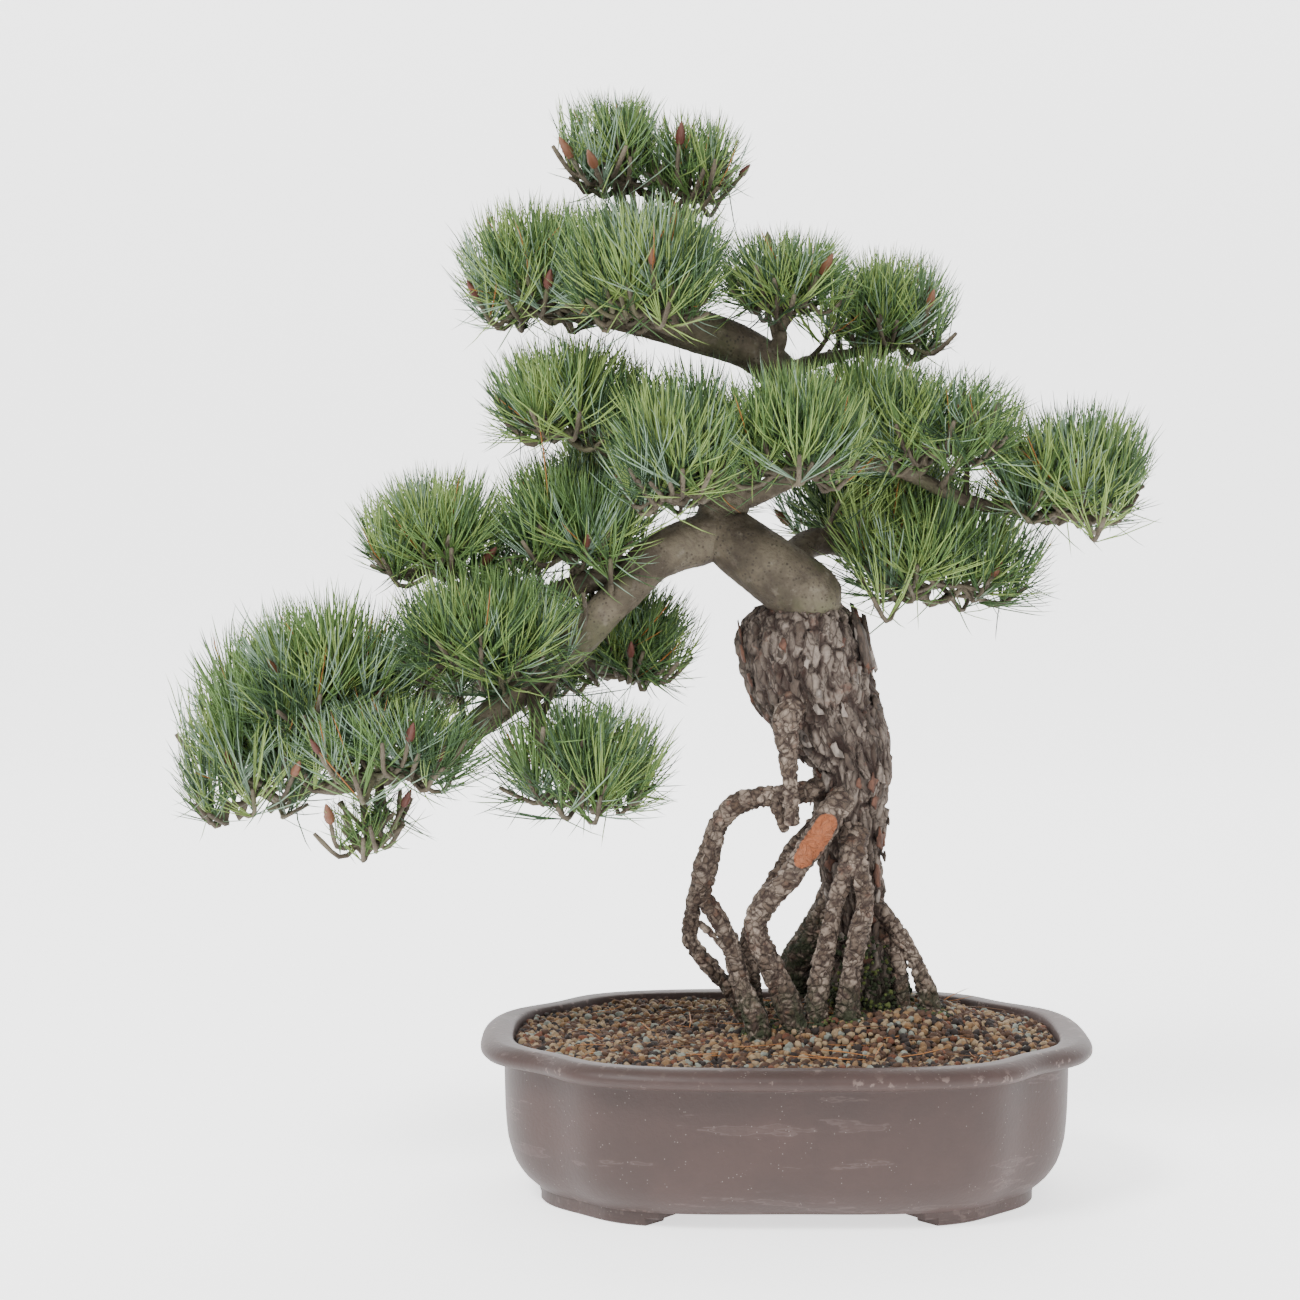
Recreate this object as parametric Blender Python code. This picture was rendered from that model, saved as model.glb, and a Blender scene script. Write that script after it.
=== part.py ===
"""A Japanese white pine bonsai in the exposed-root style, with its lobed oval pot and soil.

Sizes are in millimetres from the pot's centre on the ground: X to the right, Y away from the
viewer, Z up. Meshes are made in metres, and the last step moves the whole plant so that the
middle of its bounding box's underside is the origin.
"""

import math
import random

import bmesh
import bpy
from mathutils import Vector
from mathutils.bvhtree import BVHTree

MM = 0.001
CLEAR = 0.3  # gap between two pieces that touch
BACK_CLEAR = 0.5  # least room between a twig or needle and its neighbours
WELD = 0.0005  # points closer than this count as one

# Pot
POT_SEGMENTS = 40
POT_HALF_LENGTH = 180.0
POT_HALF_DEPTH = 142.0
POT_SQUARENESS = 2.75  # exponent of the oval: 2 is an ellipse
NOTCH_ANGLE = 32.0  # degrees from the long axis to the dip between two lobes
NOTCH_DEPTH = 12.0
NOTCH_SPREAD = 10.0  # degrees
POT_HEIGHT = 95.0
FOOT_HEIGHT = 8.0
FLOOR_HEIGHT = 15.0
# Inset from the rim's outline and height, from the pot's underside up its outer face, over the
# rim and down its inner face.
POT_WALL = (
    (34.0, FOOT_HEIGHT),
    (26.0, 14.5),
    (20.0, 23.0),
    (16.0, 36.0),
    (14.0, 84.0),
    (3.0, 84.0),
    (0.0, 86.5),
    (0.0, 89.5),
    (2.0, 92.0),
    (8.0, POT_HEIGHT),
    (19.0, 93.5),
    (20.0, 84.0),
    (21.5, 45.0),
    (28.0, 24.0),
    (38.0, FLOOR_HEIGHT),
)
FOOT_SPAN = (14.0, 51.0)  # degrees of the outline, in each quarter
FOOT_INSETS = (34.5, 52.0)
FOOT_STEP = 4.0  # height of the notch at each end of a foot
FOOT_STEP_TURN = 3.2  # degrees that the notch adds to the foot
DRAIN_RADIUS = 9.0
DRAIN_PLACES = (-75.0, 75.0)

# Soil, with its outer face from the pot's floor up
SOIL_WALL = (
    (39.0, FLOOR_HEIGHT + CLEAR),
    (29.0, 24.5),
    (22.5, 45.0),
    (21.0, 84.0),
)
SOIL_EDGE_INSET = 20.4
SOIL_RING_SHARES = (1.0, 0.78, 0.56, 0.36, 0.18)  # of the way from the mound's middle to the rim
SOIL_EDGE_HEIGHT = 90.0
MOUND_HEIGHT = 16.0
MOUND_FLAT = 33.0  # radius of the level ground round the trunk's foot
MOUND_REACH = 104.0
GROUND = SOIL_EDGE_HEIGHT + MOUND_HEIGHT
FOOT_X, FOOT_Y = 47.0, 15.0

# Trunk: the old stock that stands on its roots, and the smooth top grafted on it, with the
# radius at each point.
STOCK = (
    (FOOT_X, FOOT_Y, GROUND + CLEAR, 28.0),
    (FOOT_X, FOOT_Y, 133.0, 19.0),
    (44.0, 12.0, 163.0, 17.5),
    (40.0, 10.0, 193.0, 19.5),
    (39.0, 8.0, 221.0, 22.0),
    (40.0, 5.0, 251.0, 24.0),
    (28.0, 2.0, 277.0, 29.5),
    (16.0, 0.0, 299.0, 35.5),
    (10.0, 0.0, 319.0, 37.5),
    (7.0, 0.0, 337.0, 33.0),
    (5.0, 0.0, 350.0, 20.0),
)
TOP = (
    (24.0, -7.0, 339.0, 10.0),
    (19.0, -9.0, 345.0, 17.0),
    (11.0, -12.0, 353.0, 20.5),
    (-13.0, -12.0, 371.0, 19.3),
    (-37.0, -2.0, 391.0, 16.5),
    (-33.0, 4.0, 410.0, 13.6),
    (-20.0, 12.0, 438.0, 12.0),
    (-6.0, 16.0, 464.0, 12.0),
    (-4.0, 12.0, 482.0, 12.0),
    (-24.0, 4.0, 497.0, 12.0),
    (-54.0, -2.0, 507.0, 12.4),
    (-84.0, -5.0, 511.0, 8.2),
    (-114.0, -6.0, 514.0, 3.5),
)

# Exposed roots, from the trunk down into the soil. A second route is a branch of the first.
ROOTS = {
    "root_loop": (
        (
            (26, 0, 239, 7.0),
            (2, -14, 235, 6.5),
            (-23, -18, 233, 7.0),
            (-38, -20, 222, 7.0),
            (-46, -18, 198, 7.0),
            (-52, -15, 171, 7.0),
        ),
        ((-9, -17, 234, 4.4), (-5, -21, 228, 4.0), (-1, -22, 214, 3.0)),
    ),
    "root_loop_outer": (
        (
            (-53, -15, 176, 5.3),
            (-56, -13, 159, 5.3),
            (-55, -11, 146, 5.3),
            (-34, -6, 120, 5.6),
            (-22, -5, 100, 6.2),
            (-19, -4, 84, 6.2),
        ),
    ),
    "root_loop_inner": (
        (
            (-51, -15, 176, 5.4),
            (-43, -17, 167, 5.8),
            (-33, -21, 148, 5.8),
            (-27, -27, 126, 6.4),
            (-18, -33, 104, 7.2),
            (-13, -36, 84, 7.2),
        ),
    ),
    "root_loop_link": (((-56, -13, 163, 2.4), (-44, -15, 153, 2.3), (-32, -21, 140, 2.6)),),
    "root_stub": (((8, -18, 298, 8.0), (-1, -32, 280, 8.0), (1, -33, 250, 5.4), (3, -32, 219, 4.6)),),
    "root_arch": (
        (
            (38, -2, 236, 9.5),
            (24, -22, 222, 8.6),
            (4, -28, 191, 7.5),
            (-13, -28, 173, 7.5),
            (-18, -28, 158, 7.5),
            (-8, -29, 134, 7.5),
            (3, -32, 106, 8.4),
            (6, -33, 84, 8.4),
        ),
    ),
    "root_arch_back": (
        (
            (30, 8, 224, 5.5),
            (13, 6, 211, 4.8),
            (-6, 3, 184, 4.9),
            (-21, -3, 152, 5.6),
            (-20, -10, 122, 6.6),
            (-15, -14, 84, 7.0),
        ),
    ),
    "root_front_left": (
        (
            (39, -5, 214, 8.5),
            (37, -19, 196, 6.8),
            (28, -22, 169, 5.4),
            (19, -25, 124, 6.8),
            (15, -28, 84, 8.2),
        ),
    ),
    "root_front_right": (
        (
            (41, -7, 212, 8.5),
            (41, -19, 194, 6.8),
            (46, -22, 173, 5.8),
            (37, -27, 126, 7.0),
            (36, -30, 84, 8.2),
        ),
    ),
    "root_right": (
        (
            (50, 6, 166, 8.5),
            (60, 0, 160, 6.4),
            (77, -2, 135, 5.0),
            (87, -5, 106, 6.4),
            (90, -5, 84, 6.6),
        ),
    ),
    "root_right_inner": (((53, 8, 156, 7.2), (65, 2, 142, 5.4), (69, -2, 120, 5.2), (72, -5, 84, 6.2)),),
    "root_mossy": (((37, 18, 184, 10.0), (25, 28, 158, 10.0), (10, 34, 128, 11.0), (2, 36, 84, 12.6)),),
    "root_back": (((48, 22, 172, 9.0), (60, 40, 145, 8.0), (70, 54, 112, 8.4), (73, 60, 84, 9.0)),),
}

# Boughs, from the trunk or an older bough to the tip that a mass of needles grows from.
BOUGHS = {
    "bough_left": (
        (-36, -2, 392, 14.5),
        (-52, -6, 384, 15.0),
        (-77, -14, 374, 13.6),
        (-103, -22, 347, 11.2),
        (-121, -26, 328, 10.5),
        (-162, -32, 292, 9.0),
        (-211, -30, 257, 7.0),
        (-258, -26, 242, 5.2),
        (-276, -24, 241, 3.8),
    ),
    "bough_left_shelf": (
        (-82, -16, 370, 7.6),
        (-108, -14, 363, 7.0),
        (-142, -10, 352, 5.8),
        (-164, -8, 350, 3.6),
    ),
    "bough_left_back": (
        (-112, -22, 338, 6.8),
        (-128, 8, 334, 6.0),
        (-160, 40, 318, 4.8),
        (-214, 46, 288, 3.6),
        (-240, 46, 276, 3.0),
    ),
    "bough_left_hanging": (
        (-146, -30, 306, 4.2),
        (-147, -45, 291, 4.0),
        (-140, -50, 264, 3.4),
        (-126, -48, 246, 2.8),
    ),
    "bough_inner": ((-120, -26, 329, 5.0), (-118, -2, 317, 4.1), (-110, 13, 308, 3.4), (-99, 18, 306, 2.8)),
    "bough_right_low": (
        (-4, -8, 366, 10.0),
        (14, 18, 381, 8.8),
        (34, 22, 381, 7.2),
        (58, 16, 365, 5.2),
        (74, 12, 355, 3.6),
    ),
    "bough_right_long": (
        (-32, 4, 409, 9.0),
        (-16, 0, 412, 6.5),
        (18, -8, 427, 5.6),
        (58, -10, 428, 4.8),
        (105, -4, 408, 4.0),
        (142, 2, 400, 3.0),
    ),
    "bough_mid_left": (
        (-30, 4, 413, 7.6),
        (-46, -6, 417, 5.8),
        (-74, -13, 424, 4.6),
        (-100, -14, 434, 3.0),
    ),
    "bough_mid_front": ((-25, 8, 430, 7.0), (-33, -20, 426, 5.2), (-46, -42, 420, 3.4)),
    "bough_mid_back": ((-20, 13, 440, 8.0), (-34, 44, 432, 6.2), (-50, 64, 422, 4.0)),
    "bough_right_back": ((-6, 15, 466, 7.0), (12, 42, 446, 5.4), (30, 62, 424, 3.8)),
    "bough_top_inner": ((-12, 8, 488, 7.0), (-5, 0, 499, 5.0), (-3, -5, 508, 3.4)),
    "bough_top_outer": ((-6, 14, 478, 7.0), (12, 22, 488, 4.8), (46, 30, 496, 3.2)),
    "bough_apex": ((-76, -4, 508, 8.0), (-73, -4, 526, 5.4), (-81, 0, 556, 4.2), (-96, 0, 582, 2.8)),
    "bough_crown_front": ((-54, -2, 506, 7.0), (-66, -26, 507, 5.0), (-76, -40, 509, 3.4)),
    "bough_crown_back": ((-58, 0, 507, 7.0), (-72, 26, 510, 5.2), (-86, 42, 515, 3.4)),
}

# Masses of needles. Each keeps to a rounded box with this centre and these half sizes, grows
# from a bough's tip, or from the side of a limb where a place on it is given, and has about this
# many shoots.
MASSES = {
    "foliage_apex_left": ("bough_apex", None, (-103, 0, 616), (28, 34, 37), 4),
    "foliage_apex_right": ("bough_apex", (-78, 2, 548), (-57, 4, 605), (31, 32, 30), 3),
    "foliage_crown_left": ("trunk", None, (-145, -10, 545), (44, 44, 39), 5),
    "foliage_crown_front": ("bough_crown_front", None, (-85, -52, 544), (46, 36, 40), 4),
    "foliage_crown_back": ("bough_crown_back", None, (-97, 52, 552), (58, 42, 38), 4),
    "foliage_top_inner": ("bough_top_inner", None, (-2, -8, 532), (40, 44, 32), 4),
    "foliage_top_outer": ("bough_top_outer", None, (65, 30, 523), (35, 40, 33), 4),
    "foliage_mid_left": ("bough_mid_left", None, (-127, -16, 465), (44, 48, 39), 5),
    "foliage_mid_front": ("bough_mid_front", None, (-66, -62, 447), (38, 38, 48), 5),
    "foliage_mid_center": ("trunk", (-12, 6, 452), (-3, -52, 451), (46, 42, 38), 4),
    "foliage_mid_right": ("trunk", (-2, 14, 470), (48, 8, 463), (40, 44, 38), 4),
    "foliage_right": ("bough_right_long", (74, -9, 422), (86, -12, 430), (52, 50, 50), 5),
    "foliage_far_right": ("bough_right_long", None, (168, 2, 428), (49, 46, 39), 5),
    "foliage_right_low": ("bough_right_low", None, (90, 14, 384), (58, 46, 46), 4),
    "foliage_mid_back": ("bough_mid_back", None, (-74, 86, 439), (60, 42, 46), 4),
    "foliage_right_back": ("bough_right_back", None, (55, 84, 424), (56, 44, 48), 4),
    "foliage_shelf_inner": ("bough_left_shelf", (-122, -12, 360), (-122, -10, 395), (45, 46, 43), 5),
    "foliage_shelf_tip": ("bough_left_shelf", None, (-204, -8, 392), (43, 46, 36), 4),
    "foliage_left_upper": ("bough_left", (-152, -31, 301), (-175, -42, 327), (50, 42, 46), 4),
    "foliage_left_back": ("bough_left_back", (-146, 28, 325), (-170, 52, 324), (56, 40, 46), 4),
    "foliage_left_far_upper": ("bough_left", (-232, -28, 250), (-268, -30, 315), (52, 46, 48), 5),
    "foliage_left_far_back": ("bough_left_back", None, (-284, 50, 298), (54, 38, 48), 4),
    "foliage_left_low": ("bough_left", (-204, -30, 262), (-228, -62, 270), (52, 36, 29), 4),
    "foliage_left_tip": ("bough_left", None, (-313, -24, 279), (44, 46, 62), 5),
    "foliage_inner_low": ("bough_inner", None, (-96, 23, 326), (42, 38, 33), 4),
    "foliage_hanging": ("bough_left_hanging", None, (-121, -50, 262), (50, 40, 36), 4),
    "foliage_droop": ("bough_left", (-236, -28, 250), (-241, -34, 221), (27, 30, 20), 3),
}
NEEDLE_LENGTH = 50.0
SHOOT_MARGIN = 24.0  # room left round the shoots' tips for the spread of the needles
SHOOT_FLOOR = 10.0  # height of the lowest shoots over the box's underside
SHOOT_RISE = 14.0  # and over the place on a limb that the stem rises from
GOLDEN_TURN = math.pi * (3 - math.sqrt(5))
TRUNK_SIDES = 10
LIMB_SIDES = 6
TWIG_SIDES = 3
STEM_RADIUS = 2.9
TWIG_RADII = (2.2, 1.6)
BRUSH_SIDES = 4
# Height along the shoot and radius of each ring of a brush's slim core
BRUSH_RINGS = ((0.0, 2.2), (7.0, 4.0), (14.0, 4.2), (20.0, 2.8))
NEEDLE_LEANS = (80.0, 58.0, 32.0)  # degrees from the shoot, for the needles of each band
NEEDLE_LIFT = 7.0  # how far a level needle's tip curves up
NEEDLE_SHARES = (1.0, 0.86, 0.72, 0.58)  # of its length, tried until it has room

COLOURS = {
    "clay": (0.20, 0.105, 0.085, 0.75),
    "soil": (0.19, 0.12, 0.07, 0.95),
    "bark": (0.17, 0.12, 0.09, 0.90),
    "smooth_bark": (0.16, 0.14, 0.11, 0.85),
    "root_bark": (0.30, 0.21, 0.16, 0.90),
    "needles": (0.07, 0.14, 0.05, 0.55),
}


def new_object(name, bm):
    """Links a mesh object made from bm, which is freed."""
    mesh = bpy.data.meshes.new(name)
    bm.to_mesh(mesh)
    bm.free()
    piece = bpy.data.objects.new(name, mesh)
    bpy.context.scene.collection.objects.link(piece)
    return piece


def material(name):
    red, green, blue, roughness = COLOURS[name]
    made = bpy.data.materials.get(name)
    if made is None:
        made = bpy.data.materials.new(name)
        made.use_nodes = True
        shader = made.node_tree.nodes["Principled BSDF"]
        shader.inputs["Base Color"].default_value = (red, green, blue, 1.0)
        shader.inputs["Roughness"].default_value = roughness
        shader.inputs["Metallic"].default_value = 0.0
    return made


def dress(piece, colour, sharp=40.0):
    """Gives a finished piece its one material and smooth shading."""
    piece.data.materials.clear()
    piece.data.materials.append(material(colour))
    piece.data.shade_smooth()
    piece.data.set_sharp_from_angle(angle=math.radians(sharp))


def apply_boolean(piece, operation, operand, solver="EXACT"):
    """Applies a Boolean with one object or with every object of a collection."""
    modifier = piece.modifiers.new(operation.title(), "BOOLEAN")
    modifier.operation = operation
    modifier.solver = solver
    if isinstance(operand, bpy.types.Collection):
        modifier.operand_type = "COLLECTION"
        modifier.collection = operand
    else:
        modifier.object = operand
    graph = bpy.context.evaluated_depsgraph_get()
    result = bpy.data.meshes.new_from_object(piece.evaluated_get(graph))
    piece.modifiers.remove(modifier)
    piece.data = result


def remove_objects(pieces):
    for piece in list(pieces):
        bpy.data.objects.remove(piece)


def join_all(piece, others, solver="EXACT"):
    """Fuses the others into piece by one Boolean union on a collection."""
    group = bpy.data.collections.new("joined")
    bpy.context.scene.collection.children.link(group)
    for other in others:
        group.objects.link(other)
    apply_boolean(piece, "UNION", group, solver)
    remove_objects(others)
    bpy.data.collections.remove(group)


def keep_largest_body(piece):
    """Drops loose scraps and sealed hollows, which a Boolean can leave."""
    bm = bmesh.new()
    bm.from_mesh(piece.data)
    left = set(bm.verts)
    bodies = []
    while left:
        reached = [left.pop()]
        body = []
        while reached:
            vert = reached.pop()
            body.append(vert)
            for edge in vert.link_edges:
                other = edge.other_vert(vert)
                if other in left:
                    left.remove(other)
                    reached.append(other)
        bodies.append(body)
    bodies.sort(key=len)
    for body in bodies[:-1]:
        bmesh.ops.delete(bm, geom=body, context="VERTS")
    bmesh.ops.triangulate(bm, faces=bm.faces)
    bm.to_mesh(piece.data)
    bm.free()


def is_sound(piece):
    """Whether the piece is still closed when its closest points are made one."""
    bm = bmesh.new()
    bm.from_mesh(piece.data)
    bmesh.ops.remove_doubles(bm, verts=bm.verts, dist=WELD * MM)
    sound = all(edge.is_manifold for edge in bm.edges)
    bm.free()
    return sound


def smooth_route(points):
    """Points read from a smooth curve through the given ones, each (x, y, z, radius)."""
    ends = [Vector(point) for point in points]
    ends = [2 * ends[0] - ends[1]] + ends + [2 * ends[-1] - ends[-2]]
    route = [tuple(points[0])]
    for before, start, end, after in zip(ends, ends[1:], ends[2:], ends[3:]):
        span = (end.xyz - start.xyz).length
        steps = max(1, min(4, round(span / (2.4 * (start.w + end.w) / 2))))
        for step in range(1, steps + 1):
            t = step / steps
            bend = (
                2 * start
                + (end - before) * t
                + (2 * before - 5 * start + 4 * end - after) * t**2
                + (3 * start - before - 3 * end + after) * t**3
            )
            route.append(tuple(bend / 2))
    return route


def route_frames(centres):
    """A side and an up vector across the route at each centre, with no twist between them."""
    last = len(centres) - 1
    side = (centres[1] - centres[0]).orthogonal()
    frames = []
    for i in range(last + 1):
        tangent = (centres[min(i + 1, last)] - centres[max(i - 1, 0)]).normalized()
        side = (side - side.dot(tangent) * tangent).normalized()
        frames.append((side, tangent.cross(side)))
    return frames


def add_tube(bm, route, sides, grow=0.0):
    """Adds a closed limb along route. As a cutter it is larger all over by grow."""
    centres = [Vector(point[:3]) for point in route]
    frames = route_frames(centres)
    centres[0] += grow * (centres[0] - centres[1]).normalized()
    centres[-1] += grow * (centres[-1] - centres[-2]).normalized()
    rings = []
    for centre, (side, up), point in zip(centres, frames, route):
        radius = point[3] + grow
        ring = []
        for k in range(sides):
            angle = 2 * math.pi * k / sides
            place = centre + radius * (math.cos(angle) * side + math.sin(angle) * up)
            ring.append(bm.verts.new(place * MM))
        rings.append(ring)
    for low, high in zip(rings, rings[1:]):
        for k in range(sides):
            after = (k + 1) % sides
            bm.faces.new((low[k], low[after], high[after], high[k]))
    bm.faces.new(rings[0][::-1])
    bm.faces.new(rings[-1])


def tube(name, points, sides, grow=0.0):
    bm = bmesh.new()
    add_tube(bm, smooth_route(points), sides, grow)
    return new_object(name, bm)


def outline_point(angle, inset):
    """A point of the pot's lobed oval, this far inside the rim's outer edge."""
    across, along = math.sin(angle), math.cos(angle)
    power = POT_SQUARENESS
    total = abs(along / POT_HALF_LENGTH) ** power + abs(across / POT_HALF_DEPTH) ** power
    reach = total ** (-1 / power)
    folded = math.degrees(math.atan2(abs(across), abs(along)))
    dip = math.exp(-(((folded - NOTCH_ANGLE) / NOTCH_SPREAD) ** 2))
    reach -= NOTCH_DEPTH * dip * (1 - inset / 70)
    reach -= inset
    return along * reach, across * reach


def add_outline_ring(bm, inset, height):
    ring = []
    for k in range(POT_SEGMENTS):
        x, y = outline_point(2 * math.pi * k / POT_SEGMENTS, inset)
        ring.append(bm.verts.new(Vector((x, y, height)) * MM))
    return ring


def bridge(bm, low, high):
    """Faces between two rings of the same count, facing away from their axis."""
    count = len(low)
    for k in range(count):
        after = (k + 1) % count
        bm.faces.new((low[k], low[after], high[after], high[k]))


def foot_block(name, quarter, span, low, high):
    """One closed bent block of a foot, along the pot's outline in one quarter of it."""
    bm = bmesh.new()
    steps = 6
    mirror_x = -1 if quarter in (1, 2) else 1
    mirror_y = -1 if quarter in (2, 3) else 1
    sections = []
    for step in range(steps + 1):
        angle = math.radians(span[0] + (span[1] - span[0]) * step / steps)
        outer_x, outer_y = outline_point(angle, FOOT_INSETS[0])
        inner_x, inner_y = outline_point(angle, FOOT_INSETS[1])
        corners = (
            (outer_x, outer_y, low),
            (inner_x, inner_y, low),
            (inner_x, inner_y, high),
            (outer_x, outer_y, high),
        )
        section = []
        for x, y, z in corners:
            section.append(bm.verts.new(Vector((mirror_x * x, mirror_y * y, z)) * MM))
        sections.append(section)
    for first, second in zip(sections, sections[1:]):
        bridge(bm, first, second)
    bm.faces.new(sections[0][::-1])
    bm.faces.new(sections[-1])
    bmesh.ops.recalc_face_normals(bm, faces=bm.faces)
    return new_object(name, bm)


def build_pot():
    """The lobed oval pot with its lipped rim, four feet with stepped ends and two drain holes."""
    bm = bmesh.new()
    rings = [add_outline_ring(bm, inset, height) for inset, height in POT_WALL]
    for low, high in zip(rings, rings[1:]):
        bridge(bm, low, high)
    bm.faces.new(rings[0][::-1])
    bm.faces.new(rings[-1])
    pot = new_object("pot", bm)
    blocks = []
    for quarter in range(4):
        stepped = (FOOT_SPAN[0] - FOOT_STEP_TURN, FOOT_SPAN[1] + FOOT_STEP_TURN)
        blocks.append(foot_block("foot", quarter, FOOT_SPAN, 0.0, FOOT_HEIGHT + 3))
        blocks.append(foot_block("foot_step", quarter, stepped, FOOT_STEP, FOOT_HEIGHT + 2))
    join_all(pot, blocks)
    for place in DRAIN_PLACES:
        bm = bmesh.new()
        bmesh.ops.create_cone(
            bm,
            cap_ends=True,
            segments=16,
            radius1=DRAIN_RADIUS * MM,
            radius2=DRAIN_RADIUS * MM,
            depth=4 * FOOT_HEIGHT * MM,
        )
        bmesh.ops.translate(bm, verts=bm.verts, vec=(place * MM, 0, FOOT_HEIGHT * MM))
        cutter = new_object("drain", bm)
        apply_boolean(pot, "DIFFERENCE", cutter)
        remove_objects([cutter])
    return pot


def ground_height(x, y):
    """Height of the soil: a level mound round the trunk's foot that falls away to the rim."""
    away = math.hypot(x - FOOT_X, y - FOOT_Y)
    t = min(1.0, max(0.0, (away - MOUND_FLAT) / (MOUND_REACH - MOUND_FLAT)))
    return GROUND - MOUND_HEIGHT * t * t * (3 - 2 * t)


def build_soil(name="soil", raised=0.0):
    """The body of soil, clear of the pot's inner face. Raised, it is the cutter for the roots."""
    bm = bmesh.new()
    rings = [add_outline_ring(bm, inset, height) for inset, height in SOIL_WALL]
    rim = [outline_point(2 * math.pi * k / POT_SEGMENTS, SOIL_EDGE_INSET) for k in range(POT_SEGMENTS)]
    for share in SOIL_RING_SHARES:
        ring = []
        for edge_x, edge_y in rim:
            x = FOOT_X + share * (edge_x - FOOT_X)
            y = FOOT_Y + share * (edge_y - FOOT_Y)
            ring.append(bm.verts.new(Vector((x, y, ground_height(x, y) + raised)) * MM))
        rings.append(ring)
    for low, high in zip(rings, rings[1:]):
        bridge(bm, low, high)
    bm.faces.new(rings[0][::-1])
    bm.faces.new(rings[-1])
    return new_object(name, bm)


class Surroundings:
    """What is already built, as triangles in millimetres: new growth is tested against it."""

    def __init__(self):
        self.parts = {}

    def add(self, name, mesh):
        mesh.calc_loop_triangles()
        corners = [vertex.co / MM for vertex in mesh.vertices]
        faces = [tuple(triangle.vertices) for triangle in mesh.loop_triangles]
        low = Vector([min(corner[axis] for corner in corners) for axis in range(3)])
        high = Vector([max(corner[axis] for corner in corners) for axis in range(3)])
        self.parts[name] = (BVHTree.FromPolygons(corners, faces), low, high)

    def forget(self, names):
        for name in names:
            del self.parts[name]

    def near(self, low, high):
        """The trees of the parts whose boxes meet this one."""
        found = []
        for tree, part_low, part_high in self.parts.values():
            if all(part_low[a] <= high[a] and low[a] <= part_high[a] for a in range(3)):
                found.append(tree)
        return found

    def touched(self, corners, faces):
        low = Vector([min(corner[axis] for corner in corners) for axis in range(3)])
        high = Vector([max(corner[axis] for corner in corners) for axis in range(3)])
        trees = self.near(low, high)
        if not trees:
            return False
        tested = BVHTree.FromPolygons(corners, faces)
        return any(tested.overlap(tree) for tree in trees)

    def surface(self, name, outside, inside):
        """Where a line from outside to inside a part meets it, with that face's normal."""
        tree = self.parts[name][0]
        place, normal, _, _ = tree.ray_cast(outside, (inside - outside).normalized())
        return place, normal


def tube_shell(route, grow):
    """Corners and faces of a fattened three-sided tube, for tests against the surroundings."""
    bm = bmesh.new()
    add_tube(bm, route, TWIG_SIDES, grow)
    bm.verts.index_update()
    corners = [vert.co / MM for vert in bm.verts]
    faces = [tuple(vert.index for vert in face.verts) for face in bm.faces]
    bm.free()
    return corners, faces


def in_space(mass, point):
    """Whether a point lies in the mass's rounded box."""
    centre, half = mass
    return sum(abs((point[a] - centre[a]) / half[a]) ** 3 for a in range(3)) <= 1.0


def shoot_tips(centre, half, low, count, rng):
    """The foot and heading of each shoot: a golden-angle spiral over the mass's domed pad."""
    reach = [max(half[a] - SHOOT_MARGIN, 6.0) for a in range(2)]
    high = max(low + 4.0, centre[2] + half[2] - NEEDLE_LENGTH - 14.0)
    turn = rng.uniform(0, 2 * math.pi)
    shoots = []
    for k in range(count):
        ring = math.sqrt((k + 0.35) / count)
        angle = turn + k * GOLDEN_TURN
        rise = 1 - ring**2 if k % 3 else rng.uniform(0, 0.4)
        place = Vector(
            (
                centre[0] + reach[0] * ring * math.cos(angle) + rng.uniform(-3, 3),
                centre[1] + reach[1] * ring * math.sin(angle) + rng.uniform(-3, 3),
                low + (high - low) * rise + rng.uniform(-2, 2),
            )
        )
        lean = Vector((math.cos(angle), math.sin(angle), 0)) * (0.25 + 0.55 * ring)
        heading = (Vector((0, 0, 1)) + lean).normalized()
        shoots.append((place, heading))
    return shoots


def lowest_shoot(start, heading, centre, half):
    """Height of the mass's lowest shoots, over the limb that its stem rises from."""
    low = centre[2] - half[2] + SHOOT_FLOOR
    return max(low, start.z + SHOOT_RISE) if heading.z > 0.3 else low


def stem_route(start, heading, centre, half):
    """The stem, from its bough towards the middle of the mass's underside."""
    low = Vector((centre[0], centre[1], lowest_shoot(start, heading, centre, half) - 8))
    hub = start.lerp(low, 0.55) + Vector((0, 0, 3))
    first = start + heading * 7
    return smooth_route([(*start, STEM_RADIUS), (*first, STEM_RADIUS), (*hub, STEM_RADIUS * 0.9)])


def grow_twigs(start, heading, centre, half, shoots):
    """Routes of the stem and of the twig to each shoot, each leaving the nearest wood."""
    stem = stem_route(start, heading, centre, half)
    hub = Vector(stem[-1][:3])
    routes = [(None, stem)]
    wood = [(Vector(point[:3]), (Vector(point[:3]) - start).length) for point in stem[1:]]
    order = sorted(range(len(shoots)), key=lambda k: (shoots[k][0] - hub).length)
    for k in order:
        place, lean = shoots[k]
        joint, travelled = min(wood, key=lambda item: (item[0] - place).length + 0.3 * item[1])
        span = (place - joint).length
        middle = joint.lerp(place, 0.55) - Vector((0, 0, 0.12 * span))
        route = [
            (*joint, TWIG_RADII[0]),
            (*middle, sum(TWIG_RADII) / 2),
            (*place, TWIG_RADII[1]),
            (*(place + lean * 4), TWIG_RADII[1]),
        ]
        routes.append((k, route))
        wood.append((middle, travelled + span / 2))
        wood.append((place, travelled + span))
    return routes


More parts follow.
